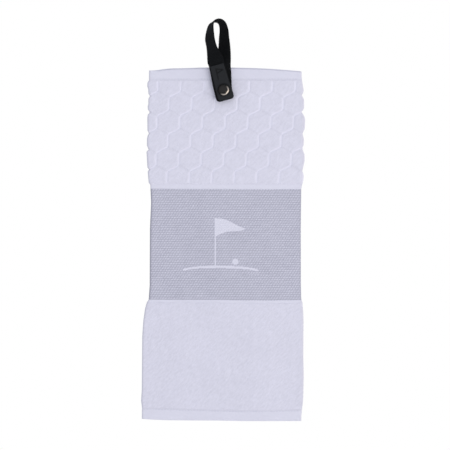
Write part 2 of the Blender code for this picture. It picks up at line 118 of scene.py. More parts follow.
RIGHT_FOLD = (
    (-50, 97.7), (-63, 97.8), (-72.7, 98.9), (-79.7, 100.2), (-85.4, 98.3), (-90.1, 100.5),
    (-99.3, 100.5), (-105.1, 98.4), (-109.7, 101), (-113.1, 101.8), (-123.5, 101.3),
    (-129.3, 98.9), (-136.2, 100.5), (-143, 100.2), (-147.6, 98.9), (-153.5, 101.1),
    (-160.5, 101.2), (-170.9, 98.9), (-177.8, 100.5), (-183, 100.0), (-189.3, 97.9),
    (-192.8, 97.3), (-237.8, 96.8), (-302.5, 96.9), (-319.8, 97.3), (-323.3, 98.5),
    (-334.8, 99.6), (-345.2, 99.9), (-386.8, 99.6), (-410, 100.1), (-436.4, 99.5),
    (-453.7, 97.5), (-466, 97.4))
# x and the height of the highest layer's top edge
TOP_EDGE = (
    (-90, -56.3), (-78, -56.2), (-71, -56.1), (-67.5, -55.7), (-62.9, -54.8), (-53.7, -53.9),
    (-36, -53.6), (-19, -52.9), (12, -52.8), (43.3, -53.5), (64.1, -54.5), (80, -55.7),
    (99, -57.4))
# how far below its level each seam hangs, at the x of SEAM_X
SEAM_X = (-90, -77, -60, -30, 0, 30, 60, 95)
SEAM_DROP = ((-53, (0, 0, 0, 0, 0, 0, 0, 0)),
             (-181, (0, 0, 0.1, 0.2, 0.2, 0.3, 0.3, 0.2)),
             (-192.7, (0.3, 0.4, 0.5, 0.75, 0.7, 0.9, 1.0, 0.8)),
             (-305, (-0.1, -0.1, 0.0, 0.2, 0.2, 0.8, 0.9, 0.5)),
             (-321.3, (-0.3, -0.3, -0.1, 0.1, 0.1, 0.7, 0.9, 0.4)),
             (-400, (-0.4, -0.4, -0.2, 0.2, 0.5, 0.8, 0.8, 0.4)),
             (-446.9, (-0.9, -0.8, -0.6, 0.5, 1.4, 2.0, 1.9, 0.9)),
             (-459.7, (-1.3, -0.3, 0.5, 0.8, 0.9, 1.5, 1.5, 1.5)))

# ------------------------------------------------------------------ weave and seams
HEX_COLUMN_PITCH = 0.02647
HEX_ROW_PITCH = 0.0214
HEX_CENTRE = (-0.0549, -0.0733)
HEX_EDGE_X = -0.0681          # the lattice narrows downwards from this line
HEX_NARROWING = 0.0045        # share per row
HEX_DRIFT = 0.00052           # sideways per row
HEX_BEND = 0.46               # share of a row that a groove takes to step half a column
GROOVE_WIDTH, FAINT_WIDTH, FAINT_DASH = 0.042, 0.040, 0.085     # in column pitches
RIB_PITCH, DASH_PITCH = 0.00266, 0.0032
DASH_SLANT = 0.52             # share of a dash that each rib moves on
PILE_SLANT = math.radians(48.0)
PILE_DRAW = (2.4, 0.9, 1.0)   # how far noise is drawn out along the pile's slant
STREAK_DRAW = (8.0, 1.0, 1.0)
SEAM_INSET = 0.0004           # of a hem's stitching, from the hem's edge
STITCH_PITCH, STITCH_LENGTH, STITCH_RADIUS, STITCH_SINK = 0.0034, 0.0025, 0.00024, 0.00016
MOTIF_X, MOTIF_DEPTH = 0.0040, 0.00035
MOTIF_SIZE, MOTIF_STEP = (0.092, 0.068), (0.00055, RIB_PITCH / 4)

# ------------------------------------------------------------------ how the cloth folds
FRONT_LENGTH, REAR_LENGTH = 0.176, 0.168    # of the flats, to space their columns
EDGE_STEPS = (0.0, 0.00012, 0.0004, 0.0008, 0.0014)     # closer points beside a free edge
HEM_STEPS = (0.0, 0.00010, 0.0003, 0.0006, 0.0010)      # and at the towel's ends
FOLD_TURNS = np.radians([-90, -78, -64, -50, -36, -24, -14, -7, -3.4, -1.7, 0,
                         1.7, 3.4, 7, 14, 24, 36, 50, 64, 78, 90])
FOLD_DEPTH = 0.75             # least reach of a turn, as a share of its half height
FOLD_SLACK = 0.0002           # a turn's half length past its reach
LEFT_REACH = 0.9              # the left turn's reach, as a share of the right one's
INNER_TURN = 0.9              # share of the thickness that the inner face lies inside the outer
LEAST_REACH = 0.00012         # of the inner face
REAR_LAYER_START = 0.18       # shift of the rear layer's pattern along the cloth
NO_EDGE = 1.0                 # distance that stands for no free edge near
HEM_ROLL, WEAVE_ROLL = 0.0011, 0.0006    # radii of the rounded ends of a zone
HEM_END_SHARE = 0.1           # of the thickness, at a hem's end
EDGE_SHARE = 0.12             # of the thickness, at a free edge
EDGE_CALM = 0.0012            # beside a free edge, where the relief fades out
EDGE_SHADE = 0.0016           # width of the shade along a free edge
LAYER_CLEARANCE = 0.00002     # kept between a layer's face and the blend between bodies
REAR_STEP, HIDDEN_STEP = 1.35, 2.2    # grid steps of the rear and hidden cloth, in front steps
BORDER_STEP = 0.0004

# ------------------------------------------------------------------ strap and snap, as packed
WEBBING_WIDTH = 0.0200
WEBBING_THICKNESS = 0.0014
WEBBING_RIM = np.array([1, 0.992, 0.97, 0.93])    # shares of the half width near an edge
GAP = 0.0003                   # between neighbouring parts
LOOP_HALF_OPENING = 0.0096
LOOP_CROWN_HEIGHT = 0.0209
LOOP_SIDE_SHIFT = 0.0005
CROWN_BASE_Z = WEBBING_THICKNESS / 2 - LOOP_CROWN_HEIGHT
CROWN_FULLNESS = (0.8, 0.6)   # power of the cosine on the right and on the left
CROWN_TIP = math.radians(6.5)
REAR_LEG_LEAN = math.radians(2.8)
REAR_LEG_TAIL = 0.0090
REAR_LEG_FLAT = 0.0300
FRONT_LEG_FLAT = 0.0025
TAB_TILT = math.radians(15.3)
LEG_OFFSET = -HINGE_Y
KNUCKLE = WEBBING_THICKNESS / 2    # radius of the webbing's turn round the hinge
LOOP_END = 2 * KNUCKLE + GAP
HINGE_TO_SNAP = 0.0316
TAB_END = HINGE_TO_SNAP + 0.0122
TAB_CORNER = 0.0040
TAB_TOP_WIDTH_SHARE = 0.96
TAB_SPARE = 0.0015            # extra width on the tab's left
TOOTH_PITCH = 0.00155
TOOTH_DEPTH = 0.00055
COVER_TOP = 0.0018
COVER_END = TAB_END - 0.0006
COVER_HALVES = (0.0080, 0.0092)    # half widths at the cover's top and end
COVER_THICKNESS = 0.0014
COVER_BEVEL = 0.0006
RECESS_FLOOR, PRESSED_DEPTH = 0.0001, 0.0005
CAP_RADIUS, CAP_RISE = 0.0065, 0.0018
CAP_RECESS = 0.0075
PAINTED_GLINT_SIDE = (0.80, -0.60)    # direction of the cap's painted highlight
FLANGE_RADIUS, FLANGE_RECESS, FLANGE_SLOPE = 0.0058, 0.0013, 0.0009    # dip for the rivet

# ------------------------------------------------------------------ stage
VIEW_WIDTH = 0.5195            # across the towel's plane
VIEW_CENTRE = (0.0092, -0.2349)
CAMERA_DISTANCE = 2.75
FLOOR_Z = -1.15
KEY_PLACE, KEY_COLOUR = (1.05, -1.55, -0.70), (1.0, 0.95, 0.86)


# ------------------------------------------------------------------ mesh helpers
def grid_faces(rows, columns, first, flip):
    """Quads of a grid numbered row by row from first."""
    corner = first + np.arange(rows - 1)[:, None] * columns + np.arange(columns - 1)[None, :]
    quads = np.stack([corner, corner + 1, corner + columns + 1, corner + columns], -1)
    quads = quads.reshape(-1, 4)
    return quads[:, ::-1] if flip else quads


def grid_rim(rows, columns, first):
    """The grid's border, once round: along the first row, down, back along the last row and up."""
    return first + np.concatenate([
        np.arange(columns),
        columns - 1 + columns * np.arange(1, rows),
        columns * (rows - 1) + np.arange(columns - 2, -1, -1),
        columns * np.arange(rows - 2, 0, -1),
    ])


def mesh_object(name, points, quads, triangles=None, values=None, plane=None):
    """A smooth-shaded object from arrays.

    values is {attribute: one number a point}; plane holds the (u, v) of the cloth at each point.
    Faces are turned round if the signed volume, a sixth of the sum of a . (b x c), is negative.
    """
    triangles = np.zeros((0, 3), int) if triangles is None else np.asarray(triangles)
    split = np.concatenate([quads[:, [0, 1, 2]], quads[:, [0, 2, 3]], triangles])
    a, b, c = (points[split[:, k]] - points.mean(0) for k in range(3))
    if (a * np.cross(b, c)).sum() < 0:
        quads, triangles = quads[:, ::-1], triangles[:, ::-1]
    corners = np.concatenate([quads.ravel(), triangles.ravel()]).astype(np.int32)
    starts = np.concatenate([np.arange(len(quads)) * 4,
                             len(quads) * 4 + np.arange(len(triangles)) * 3])
    mesh = bpy.data.meshes.new(name)
    mesh.vertices.add(len(points))
    mesh.vertices.foreach_set("co", points.astype(np.float32).ravel())
    mesh.loops.add(len(corners))
    mesh.loops.foreach_set("vertex_index", corners)
    mesh.polygons.add(len(starts))
    mesh.polygons.foreach_set("loop_start", starts.astype(np.int32))
    mesh.update(calc_edges=True)
    mesh.validate()
    for key, numbers in (values or {}).items():
        layer = mesh.attributes.new(key, "FLOAT", "POINT")
        layer.data.foreach_set("value", np.asarray(numbers, np.float32).ravel())
    if plane is not None:
        layer = mesh.uv_layers.new(name="cloth_plane")
        layer.data.foreach_set("uv", plane[corners].astype(np.float32).ravel())
    mesh.shade_smooth()
    mesh.set_sharp_from_angle(angle=math.radians(50))
    made = bpy.data.objects.new(name, mesh)
    bpy.context.scene.collection.objects.link(made)
    return made


def slab(name, outer, inner, values=None, plane=None):
    """A closed sheet between two grids of points, shaped (rows, columns, 3).

    The inner grid has either the outer's size or half its steps; the walls join their borders.
    values and plane hold (outer, inner) pairs of grids.
    """
    rows, columns = outer.shape[:2]
    few_rows, few_columns = inner.shape[:2]
    start = rows * columns
    points = np.concatenate([outer.reshape(-1, 3), inner.reshape(-1, 3)])
    quads = [grid_faces(rows, columns, 0, False),
             grid_faces(few_rows, few_columns, start, True)]
    near = grid_rim(rows, columns, 0)
    far = grid_rim(few_rows, few_columns, start)
    next_far = np.roll(far, -1)
    triangles = None
    if len(near) == len(far):
        quads.append(np.stack([np.roll(near, -1), near, far, next_far], -1))
    else:
        a0, a1, a2 = near[::2], near[1::2], np.roll(near, -2)[::2]
        triangles = np.concatenate([np.stack([a1, a0, far], -1),
                                    np.stack([a1, far, next_far], -1),
                                    np.stack([a2, a1, next_far], -1)])
    flat = {key: np.concatenate([pair[0].ravel(), pair[1].ravel()])
            for key, pair in (values or {}).items()}
    if plane is not None:
        plane = np.concatenate([plane[0].reshape(-1, 2), plane[1].reshape(-1, 2)])
    return mesh_object(name, points, np.concatenate(quads), triangles, flat, plane)


def turned(name, profile, centre, segments=72, closed=False):
    """Turn (radius, y) points round the Y axis through centre (x, z).

    An open profile starts and ends on the axis, each end one shared point; a closed one is a ring.
    """
    profile = np.array(profile, float)
    angles = TURN * np.arange(segments) / segments
    body = profile if closed else profile[1:-1]
    x = centre[0] + body[:, :1] * np.cos(angles)
    z = centre[1] + body[:, :1] * np.sin(angles)
    points = np.stack([x, np.broadcast_to(body[:, 1:], x.shape), z], -1).reshape(-1, 3)
    count = len(body)
    ring = np.arange(count if closed else count - 1)
    here = ring[:, None] * segments + np.arange(segments)[None, :]
    across = ring[:, None] * segments + (np.arange(segments)[None, :] + 1) % segments
    step = count * segments
    quads = np.stack([here, across, (across + segments) % step, (here + segments) % step], -1)
    triangles = None
    if not closed:
        poles = np.array([[centre[0], profile[0, 1], centre[1]],
                          [centre[0], profile[-1, 1], centre[1]]])
        points = np.concatenate([points, poles])
        turn = np.arange(segments)
        after = (turn + 1) % segments
        last = (count - 1) * segments
        triangles = np.concatenate([
            np.stack([after, turn, np.full(segments, step)], -1),
            np.stack([last + turn, last + after, np.full(segments, step + 1)], -1)])
    return mesh_object(name, points, quads.reshape(-1, 4), triangles)


# ------------------------------------------------------------------ fields over the cloth
def ease(share):
    """Smoothstep: 3 t^2 - 2 t^3 with t held between 0 and 1."""
    t = np.clip(share, 0.0, 1.0)
    return t * t * (3 - 2 * t)


def rounding(distance, radius):
    """Quarter-circle rise from 0 at an edge to 1 at the radius: sqrt(1 - (1 - d/r)^2)."""
    t = np.clip(distance / radius, 0.0, 1.0)
    return np.sqrt(1 - (1 - t) ** 2)


def waves(x, z, seed, shortest, longest, count=8, heading=0.0, spread=math.pi / 2):
    """Sum of plane waves cos(2 pi (x cos a + z sin a) / length + phase), about -1 to 1.

    Lengths, phases and the directions a, within spread of heading, are drawn from the seed.
    """
    random = np.random.default_rng(seed)
    total = np.zeros(np.broadcast(x, z).shape)
    for _ in range(count):
        length = random.uniform(shortest, longest)
        angle = heading + random.uniform(-spread, spread)
        phase = random.uniform(0, TURN)
        total += np.cos(TURN * (x * math.cos(angle) + z * math.sin(angle)) / length + phase)
    return total / math.sqrt(2 * count)


def outline(table, z):
    """The outline's x at each height, in a straight line between the guide points."""
    heights, values = np.array(table).T
    return np.interp(z / MM, heights[::-1], values[::-1]) * MM


def honeycomb(across, z):
    """Grooves of a honeycomb: 0 on a cell and 1 along the middle of a groove.

    Each deep groove is one curve down the cloth, x = x0 - (pitch / 2) (n + smoothstep) at row n:
    upright beside a cell, then sloping to the next row's gap. The side that would close the
    hexagon is faint and dashed. With d the distance in column pitches, the groove is
    exp(-(d / width)^2).
    """
    rows = (HEX_CENTRE[1] - z) / HEX_ROW_PITCH
    spread = (across - HEX_EDGE_X) * (1 + HEX_NARROWING * rows) + HEX_EDGE_X + HEX_DRIFT * rows
    a = (spread - HEX_CENTRE[0]) / HEX_COLUMN_PITCH
    whole = np.floor(rows)
    ramp = np.clip((rows - whole - 0.5) / HEX_BEND + 0.5, 0, 1)
    place = a - 0.5 + 0.5 * (whole + ease(ramp))
    slope = (HEX_COLUMN_PITCH / HEX_ROW_PITCH) * 3 * ramp * (1 - ramp) / HEX_BEND
    off = np.abs(place - np.round(place)) / np.sqrt(1 + slope * slope)
    strong = np.exp(-(off / GROOVE_WIDTH) ** 2)
    rise = math.sqrt(3) / 2
    b = -rows * rise
    a1, b1 = a - np.round(a), b - 2 * rise * np.round(b / (2 * rise))
    a2 = a - 0.5 - np.round(a - 0.5)
    b2 = b - rise - 2 * rise * np.round((b - rise) / (2 * rise))
    first = a1 * a1 + b1 * b1 < a2 * a2 + b2 * b2
    qa, qb = np.where(first, a1, a2), np.where(first, b1, b2)
    falling = 0.5 - np.abs(qa / 2 + qb * rise)
    dashes = 0.6 + 0.4 * np.cos(TURN * (qa * rise - qb / 2) / FAINT_DASH)
    return strong, np.exp(-(falling / FAINT_WIDTH) ** 2) * dashes


def twill(across, z):
    """Horizontal ribs 0.5 + 0.5 cos(2 pi z / pitch), each broken into slanting dashes."""
    ribs = 0.5 + 0.5 * np.cos(TURN * z / RIB_PITCH)
    dashes = 0.5 + 0.5 * np.cos(TURN * (across / DASH_PITCH - DASH_SLANT * z / RIB_PITCH))
    return ribs * (0.45 + 0.55 * dashes)


def hang(x, z):
    """How far the front layer bellies towards the viewer: none near the strap and the fold."""
    swell = 0.5 + 0.5 * waves(x, z * 0.35, 5, 0.07, 0.16, 5)
    lower = ease((-0.120 - z) / 0.12)
    sides = ease((0.088 - x) / 0.03)
    return -0.0012 * np.clip(swell, 0, 1.3) * lower * sides


def rear_hang(x, z):
    """How far the rear layer bellies away from the viewer: none near the left fold."""
    swell = 0.5 + 0.5 * waves(x, z * 0.4, 9, 0.08, 0.16, 5)
    return 0.0010 * np.clip(swell, 0, 1.3) * ease((x - LEFT_AXIS_X) / 0.03 - 0.1)


def turn_shade(turn):
    """Shade of the cloth where its front face turns into a fold."""
    return 0.45 * np.exp(-((turn + 0.9) / 0.55) ** 2)


def tilt(x, z):
    """How far the weave's rows hang off level: straight lines between SEAM_DROP's guide values."""
    heights = np.array([row[0] for row in SEAM_DROP]) * MM
    share = np.interp(-z, -heights, np.arange(len(heights)))
    drop = np.zeros(np.broadcast(x, z).shape)
    for k, (_, drops) in enumerate(SEAM_DROP):
        at_x = np.interp(x, np.array(SEAM_X) * MM, drops)
        drop = drop + at_x * np.maximum(0, 1 - np.abs(share - k))
    return -drop * MM


def top_edge(x):
    """Height of the highest layer's top edge, in a straight line between the guide points."""
    places, heights = np.array(TOP_EDGE).T
    return np.interp(x / MM, places, heights) * MM


def front_drop(x):
    """How far the front layer's top edge lies below the middle one's; less at the free edge."""
    return 0.0003 + 0.0011 * ease((x + 0.074) / 0.008)


# ------------------------------------------------------------------ folded cloth
def odd(count):
    """The nearest odd count, at least 3, so that every second sample reaches both ends."""
    return max(3, 2 * round((count - 1) / 2) + 1)


def spaced(length, step, edge):
    """Shares from 0 to 1 of a length, about a step apart, with closer ones by an edge at 0."""
    near = np.array(EDGE_STEPS if edge else EDGE_STEPS[:1])
    rest = np.linspace(near[-1], length, max(3, int((length - near[-1]) / step)))[1:]
    return np.concatenate([near, rest]) / length


def fold_ellipse(reach, outer_b):
    """A turn's half length along x, and how far its centre lies beyond the fold's axis."""
    outer_a = np.maximum(FOLD_DEPTH * outer_b, reach + FOLD_SLACK)
    return outer_a, reach - outer_a


class Strip:
    """One stretch of cloth in plan: a flat, a fold and a flat, or a fold and a flat.

    side +1 is the right fold with the front and middle layers, -1 the left fold with the rear
    layer. Each column holds its kind (0 first flat, 1 fold, 2 second flat), its share of the
    flat and its turn round the fold.
    """

    def __init__(self, side, step, hidden_step):
        self.side = side
        if side > 0:
            first = spaced(FRONT_LENGTH, step, True)[:-1]
            second = spaced(REAR_LENGTH, hidden_step, False)[1:]
        else:
            first = np.zeros(0)
            second = (1 - spaced(REAR_LENGTH, step, True)[::-1])[1:]
        counts = len(first), len(FOLD_TURNS), len(second)
        columns = np.stack([
            np.repeat([0.0, 1.0, 2.0], counts),
            np.concatenate([first, np.zeros(counts[1]), second]),
            np.concatenate([np.full(counts[0], FOLD_TURNS[0]), FOLD_TURNS,
                            np.full(counts[2], FOLD_TURNS[-1])])])
        if columns.shape[1] % 2 == 0:
            columns = np.delete(columns, -4, axis=1)
        self.kind, self.share, self.turn = columns
        self.layer_share = 0.5 + self.turn / math.pi    # 0 on the first layer, 1 on the second

    def plan(self, z, thick, inward):
        """One face at heights z: x, y, outward normal, cloth coordinate, distance to the edge.

        The fold is an ellipse: x = c + s A cos t, y = m + B sin t, with B half the layer pitch
        plus or minus half the thickness, and A reaching the outline. inward picks the inner face.
        """
        side, kind, share, turn = self.side, self.kind, self.share, self.turn
        right_reach = outline(RIGHT_FOLD, z) - RIGHT_AXIS_X
        left_reach = LEFT_REACH * right_reach
        outer_b = HALF_PITCH + thick / 2
        outer_a, centre = fold_ellipse(right_reach if side > 0 else left_reach, outer_b)
        axis_x, axis_y = ((RIGHT_AXIS_X, RIGHT_AXIS_Y) if side > 0
                          else (LEFT_AXIS_X, LEFT_AXIS_Y))
        joint_x = axis_x + side * centre
        if side > 0:
            first_end = outline(FREE_EDGE, z)
            second_end = LEFT_AXIS_X - fold_ellipse(left_reach, outer_b)[1]
        else:
            first_end = joint_x
            second_end = REAR_EDGE_X + 0.5 * right_reach
        long_a, long_b = outer_a, outer_b
        if inward:
            long_a = np.maximum(outer_a - INNER_TURN * thick, LEAST_REACH)
            long_b = HALF_PITCH - thick / 2
        x = np.select([kind == 0, kind == 2], [first_end + (joint_x - first_end) * share,
                                               joint_x + (second_end - joint_x) * share],
                      axis_x + side * (centre + long_a * np.cos(turn)))
        y = axis_y + long_b * np.sin(turn)
        normal_x = np.where(kind == 1, side * np.cos(turn) * long_b, 0.0)
        normal_y = np.where(kind == 1, np.sin(turn) * long_a, np.sign(turn))
        size = np.hypot(normal_x, normal_y) * (-1.0 if inward else 1.0)
        around = side * math.pi * HALF_PITCH
        run = np.select([kind == 0, kind == 1], [x - joint_x, around * self.layer_share],
                        around + joint_x - x)
        along = RIGHT_AXIS_X + (run + centre if side > 0 else REAR_LAYER_START - run)
        edge, off = (0, x - first_end) if side > 0 else (2, second_end - x)
        free = np.where(kind == edge, np.minimum(off, NO_EDGE), NO_EDGE)
        return x, y, normal_x / size, normal_y / size, along, free


def zone_rows(zone, step):
    """Shares from 0 at a zone's top to 1 at its foot, closer together at the towel's ends."""
    height = SPAN[zone][0] - SPAN[zone][1]
    shares = np.linspace(0, 1, odd(height / step))
    close = np.array(HEM_STEPS) / height
    clear = close[-1] * 1.3
    if zone == ZONES[0]:
        shares = np.concatenate([close, shares[shares > clear]])
    if zone == ZONES[-1]:
        shares = np.concatenate([shares[shares < 1 - clear], 1 - close[::-1]])
    return shares if len(shares) % 2 else np.delete(shares, len(shares) // 2)


def folded_zone(name, zone, strip, rows, relief, edge_share=0.72, roll=0.0016):
    """One zone of cloth over its flat, fold and flat, as a closed sheet.

    relief(along, z, strip, inward) gives the height over a face, in metres, and how far the
    point lies in a groove and in a faint one. The thickness falls to edge_share of itself at
    the zone's ends. The inner face takes every second row and column.
    """
    high, low = SPAN[zone]
    first, second, right = strip.kind == 0, strip.kind == 2, strip.side > 0
    clear = HALF_GAP + LAYER_CLEARANCE
    layers = ("front", "middle") if right else ("middle", "rear")
    halfway = sum(LAYER_Y[layer] for layer in layers) / 2
    faces, values, planes = [], [], []
    for inward in (False, True):
        level = (high + (low - high) * rows)[:, None] * np.ones(len(strip.kind))
        from_end = {"top_hem": high - level, "bottom_hem": level - low}.get(zone)
        if from_end is None:
            ends = edge_share + (1 - edge_share) * rounding(
                np.minimum(high - level, level - low), roll)
        else:
            ends = HEM_END_SHARE + (1 - HEM_END_SHARE) * rounding(from_end, HEM_ROLL)
        x, y, nx, ny, along, free = strip.plan(level, THICKNESS[zone] * ends, inward)
        z = level + tilt(x, level)
        if zone == "top_hem":
            front_share = 1 - strip.layer_share if right else 0.0
            z = z + (top_edge(x) - high - front_drop(x) * front_share) * (1 - rows[:, None])
        middle = np.where(first, LAYER_Y["front"], LAYER_Y["rear"])
        shrink = EDGE_SHARE + (1 - EDGE_SHARE) * rounding(free, THICKNESS[zone] / 2)
        y = np.where(free < NO_EDGE / 2, middle + (y - middle) * shrink, y)
        height, groove, faint = relief(along, z, strip, inward)
        height = height * rounding(free, EDGE_CALM)
        # painted shade: darker along a free edge and where the front face turns into a fold
        edge = np.exp(-(free / EDGE_SHADE) ** 2) + turn_shade(strip.turn) * (strip.kind == 1)
        if right:
            y = y + np.where(first, hang(x, z), 0.0)
        else:
            y = y + np.where(second, rear_hang(x, z), 0.0)
        if inward and right and zone == "honeycomb_terry":
            off = np.hypot(x - SNAP_X, z - SNAP_Z)
            dip = ease((FLANGE_RADIUS + FLANGE_SLOPE - off) / FLANGE_SLOPE) * first
            height = height * (1 - dip) - FLANGE_RECESS * dip
        y = y + ny * height
        y = np.where(first, np.minimum(y, halfway - clear), y)
        y = np.where(second, np.maximum(y, halfway + clear), y)
        pick = (slice(None, None, 2 if inward else 1),) * 2
        faces.append(np.stack([x + nx * height, y, z], -1)[pick])
        planes.append(np.stack([along, z], -1)[pick])
        values.append([np.broadcast_to(v, x.shape)[pick] for v in (groove, faint, edge)])
    pairs = dict(zip(("groove", "faint", "edge"), zip(*values)))
    return slab(name, *faces, pairs, planes)


def seat(piece, strip, zone):
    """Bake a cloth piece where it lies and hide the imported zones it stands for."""
    z = (LEVELS[0] + LEVELS[-1]) / 2
    if strip.side > 0:
        x, y, bodies = RIGHT_AXIS_X, RIGHT_AXIS_Y, ("front_panel", "middle_panel")
        nodes = (f"front_{zone}", f"middle_{zone}", "right_fold")
    else:
        x, y, bodies = LEFT_AXIS_X, LEFT_AXIS_Y, ("middle_panel", "rear_panel")
        nodes = (f"rear_{zone}", "left_fold")
    y - HALF_GAP
    y + HALF_GAP
    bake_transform(piece)
    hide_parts(*nodes)
    return piece


def flat_size(strip, zone):
    """Width along the cloth and height of a zone's cut."""
    high, low = SPAN[zone]
    flats = (2 * RIGHT_AXIS_X - cad_range(f"front_{zone}", 0)[0] if strip.side > 0
             else REAR_EDGE_X)
    return round(math.pi * HALF_PITCH + flats - LEFT_AXIS_X, 4), round(high - low, 4)


def pile_relief(along, z, strip, inward):
    """Sheared pile: rising streaks 0.1 mm high and shorter tufts between them."""
    streaks = waves(along, z, 21, 0.0016, 0.0034, 12, math.radians(-38), math.radians(20))
    tufts = waves(along, z, 22, 0.0020, 0.0040, 10)
    creases = waves(along, z, 23, 0.010, 0.022, 6, 0.0, math.radians(14))
    return 0.00010 * streaks + 0.00005 * tufts + 0.00010 * creases, 0.0, 0.0


def honeycomb_relief(along, z, strip, inward):
    """Honeycomb grooves sunk into looped pile that lies in falling streaks."""
    right_side = inward == (strip.side < 0)
    strong, faint = honeycomb(along, z)
    high, low = SPAN["honeycomb_terry"]
    ends = ease(np.minimum(high - z, z - low) / 0.002)
    strong, faint = strong * ends, faint * ends
    depth = 0.00080 if right_side else 0.00050
    pile = (0.00006 * waves(along, z, 26, 0.0015, 0.0030, 12, math.radians(50),
                            math.radians(22))
            + 0.00005 * waves(along, z, 27, 0.0020, 0.0045, 10))
    height = -depth * np.maximum(strong, 0.5 * faint) + pile * (1 - 0.7 * strong)
    return height, strong if right_side else 0.5 * strong, faint


def band_relief(along, z, strip, inward):
    """Twill ribs 0.16 mm high."""
    return 0.00016 * (twill(along, z) - 0.5), 0.0, 0.0


def border_relief(along, z, strip, inward):
    """Flat woven strip with fine waves."""
    return 0.00004 * waves(along, z, 33, 0.0015, 0.004, 6), 0.0, 0.0


def hem_relief(along, z, strip, inward):
    """Turned hem: a shallow channel along the stitching and small puckers beside it."""
    seam = np.where(z > (LEVELS[0] + LEVELS[-2]) / 2, LEVELS[1] + SEAM_INSET,
                    LEVELS[-2] - SEAM_INSET)
    channel = np.exp(-((z - seam - tilt(along, z)) / 0.0010) ** 2)
    pucker = 0.5 + 0.5 * np.cos(TURN * along / STITCH_PITCH)
    height = (-0.00022 * channel * (0.4 + 0.6 * pucker)
              + 0.00006 * waves(along, z, 41, 0.002, 0.006, 8)
              + 0.00010 * waves(along, z * 0.3, 42, 0.012, 0.03, 5))
    # the channel's share also darkens the hem's colour: painted shade along the stitching
    return height, channel * 0.5, 0.0


# ------------------------------------------------------------------ material helpers
class Value:
    """A shader node's output; arithmetic on it adds Math nodes."""

    def __init__(self, tree, socket):
        self.tree, self.socket = tree, socket

    def math(self, operation, *others):
        """A Math node of this value and others, which are Values or numbers."""
        return value(self.tree, "Math", dict(enumerate((self, *others))), operation=operation)

    def scaled(self, factor, offset):
        """This value times a factor plus an offset."""
        return self.math("MULTIPLY_ADD", factor, offset)

    def __add__(self, other):
        return self.math("ADD", other)

    def __sub__(self, other):
        return self.math("SUBTRACT", other)

    def __mul__(self, other):
        return self.math("MULTIPLY", other)

    def __truediv__(self, other):
        return self.math("DIVIDE", other)


def node(tree, kind, inputs=None, **settings):
    """Add a shader node: settings are its properties, inputs its sockets by name or number."""
    made = tree.nodes.new("ShaderNode" + kind)
    for key, setting in settings.items():
        setattr(made, key, setting)
    for key, given in (inputs or {}).items():
        socket = made.inputs[key]
        if isinstance(given, Value):
            tree.links.new(given.socket, socket)
        else:
            socket.default_value = (*given, 1.0) if socket.type == "RGBA" else given
    return made


def value(tree, kind, inputs=None, output=0, **settings):
    """Add a shader node and return one of its outputs."""
    return Value(tree, node(tree, kind, inputs, **settings).outputs[output])


def noise(place, scale, detail=2.0, roughness=0.5):
    """A noise texture's factor."""
    return value(place.tree, "TexNoise", {"Vector": place, "Scale": scale, "Detail": detail,
                                          "Roughness": roughness}, noise_dimensions="3D")


def drawn(place, stretch, slant=0.0):
    """A vector whose textures are drawn out by stretch along axes turned by slant."""
    return value(place.tree, "Mapping", {"Vector": place, "Rotation": (0.0, 0.0, slant),
                                         "Scale": stretch}, vector_type="TEXTURE")


def yarn_loops(place, density):
    """Terry loops: rounded specks from a Voronoi distance, and noise drawn out along a slant."""
    cells = value(place.tree, "TexVoronoi", {"Vector": place, "Scale": density}, "Distance",
                  voronoi_dimensions="3D", feature="SMOOTH_F1")
    wide = noise(drawn(place, PILE_DRAW, PILE_SLANT), density * 0.45)
    fine = noise(place, density * 1.7) * 0.4
    return cells.scaled(-1.0, 1.0) * 0.6 + fine, wide * 0.6 + fine


def broken_ribs(place, rib_pitch, dash_pitch, slant):
    """Ribs broken into slanting dashes, a cosine of v times a cosine of u - s v, with streaks."""
    parts = node(place.tree, "SeparateXYZ", {0: place}).outputs
    rib = Value(place.tree, parts["Y"]) / rib_pitch
    dash = (Value(place.tree, parts["X"]) / dash_pitch - rib * slant
            + (noise(place, 200.0, 3.0) - 0.5) * 1.1)
    rib_wave, dash_wave = ((phase * TURN).math("COSINE").scaled(0.5, 0.5)
                           for phase in (rib, dash))
    height = rib_wave.scaled(0.80, 0.20) * dash_wave.scaled(0.72, 0.28)
    streaks = noise(drawn(place, STREAK_DRAW), 620.0)
    return height, height * 0.66 + streaks * 0.34


def mottle(place, scale):
    """Slow change of tone over the surface from two sizes of noise, about 0 to 1."""
    return (noise(place, scale, 3.0, 0.55) * 0.65 + noise(place, scale * 8.0) * 0.35,)


GROUPS = {
    "yarn_loops": (yarn_loops, {"Loops per metre": 900.0}, ("Height", "Tone")),
    "broken_ribs": (broken_ribs, {"Rib pitch": RIB_PITCH, "Dash pitch": DASH_PITCH,
                                  "Slant": DASH_SLANT}, ("Height", "Tone")),
    "mottle": (mottle, {"Scale": 30.0}, ("Tone",)),
}


def shared_group(name):
    """The named node group, built the first time: a Vector and numbers in, numbers out."""
    tree = bpy.data.node_groups.get(name)
    if tree:
        return tree
    make, inputs, outputs = GROUPS[name]
    tree = bpy.data.node_groups.new(name, "ShaderNodeTree")
    tree.interface.new_socket(name="Vector", in_out="INPUT", socket_type="NodeSocketVector")
    for label, default in inputs.items():
        socket = tree.interface.new_socket(name=label, in_out="INPUT",
                                           socket_type="NodeSocketFloat")
        socket.default_value = default
    for label in outputs:
        tree.interface.new_socket(name=label, in_out="OUTPUT", socket_type="NodeSocketFloat")
    start, end = tree.nodes.new("NodeGroupInput"), tree.nodes.new("NodeGroupOutput")
    results = make(*(Value(tree, start.outputs[label]) for label in ("Vector", *inputs)))
    for label, result in zip(outputs, results):
        tree.links.new(result.socket, end.inputs[label])
    return tree


def tinted(colour, share):
    """A colour made lighter or darker by a share."""
    return tuple(min(c * share, 1.0) for c in colour)


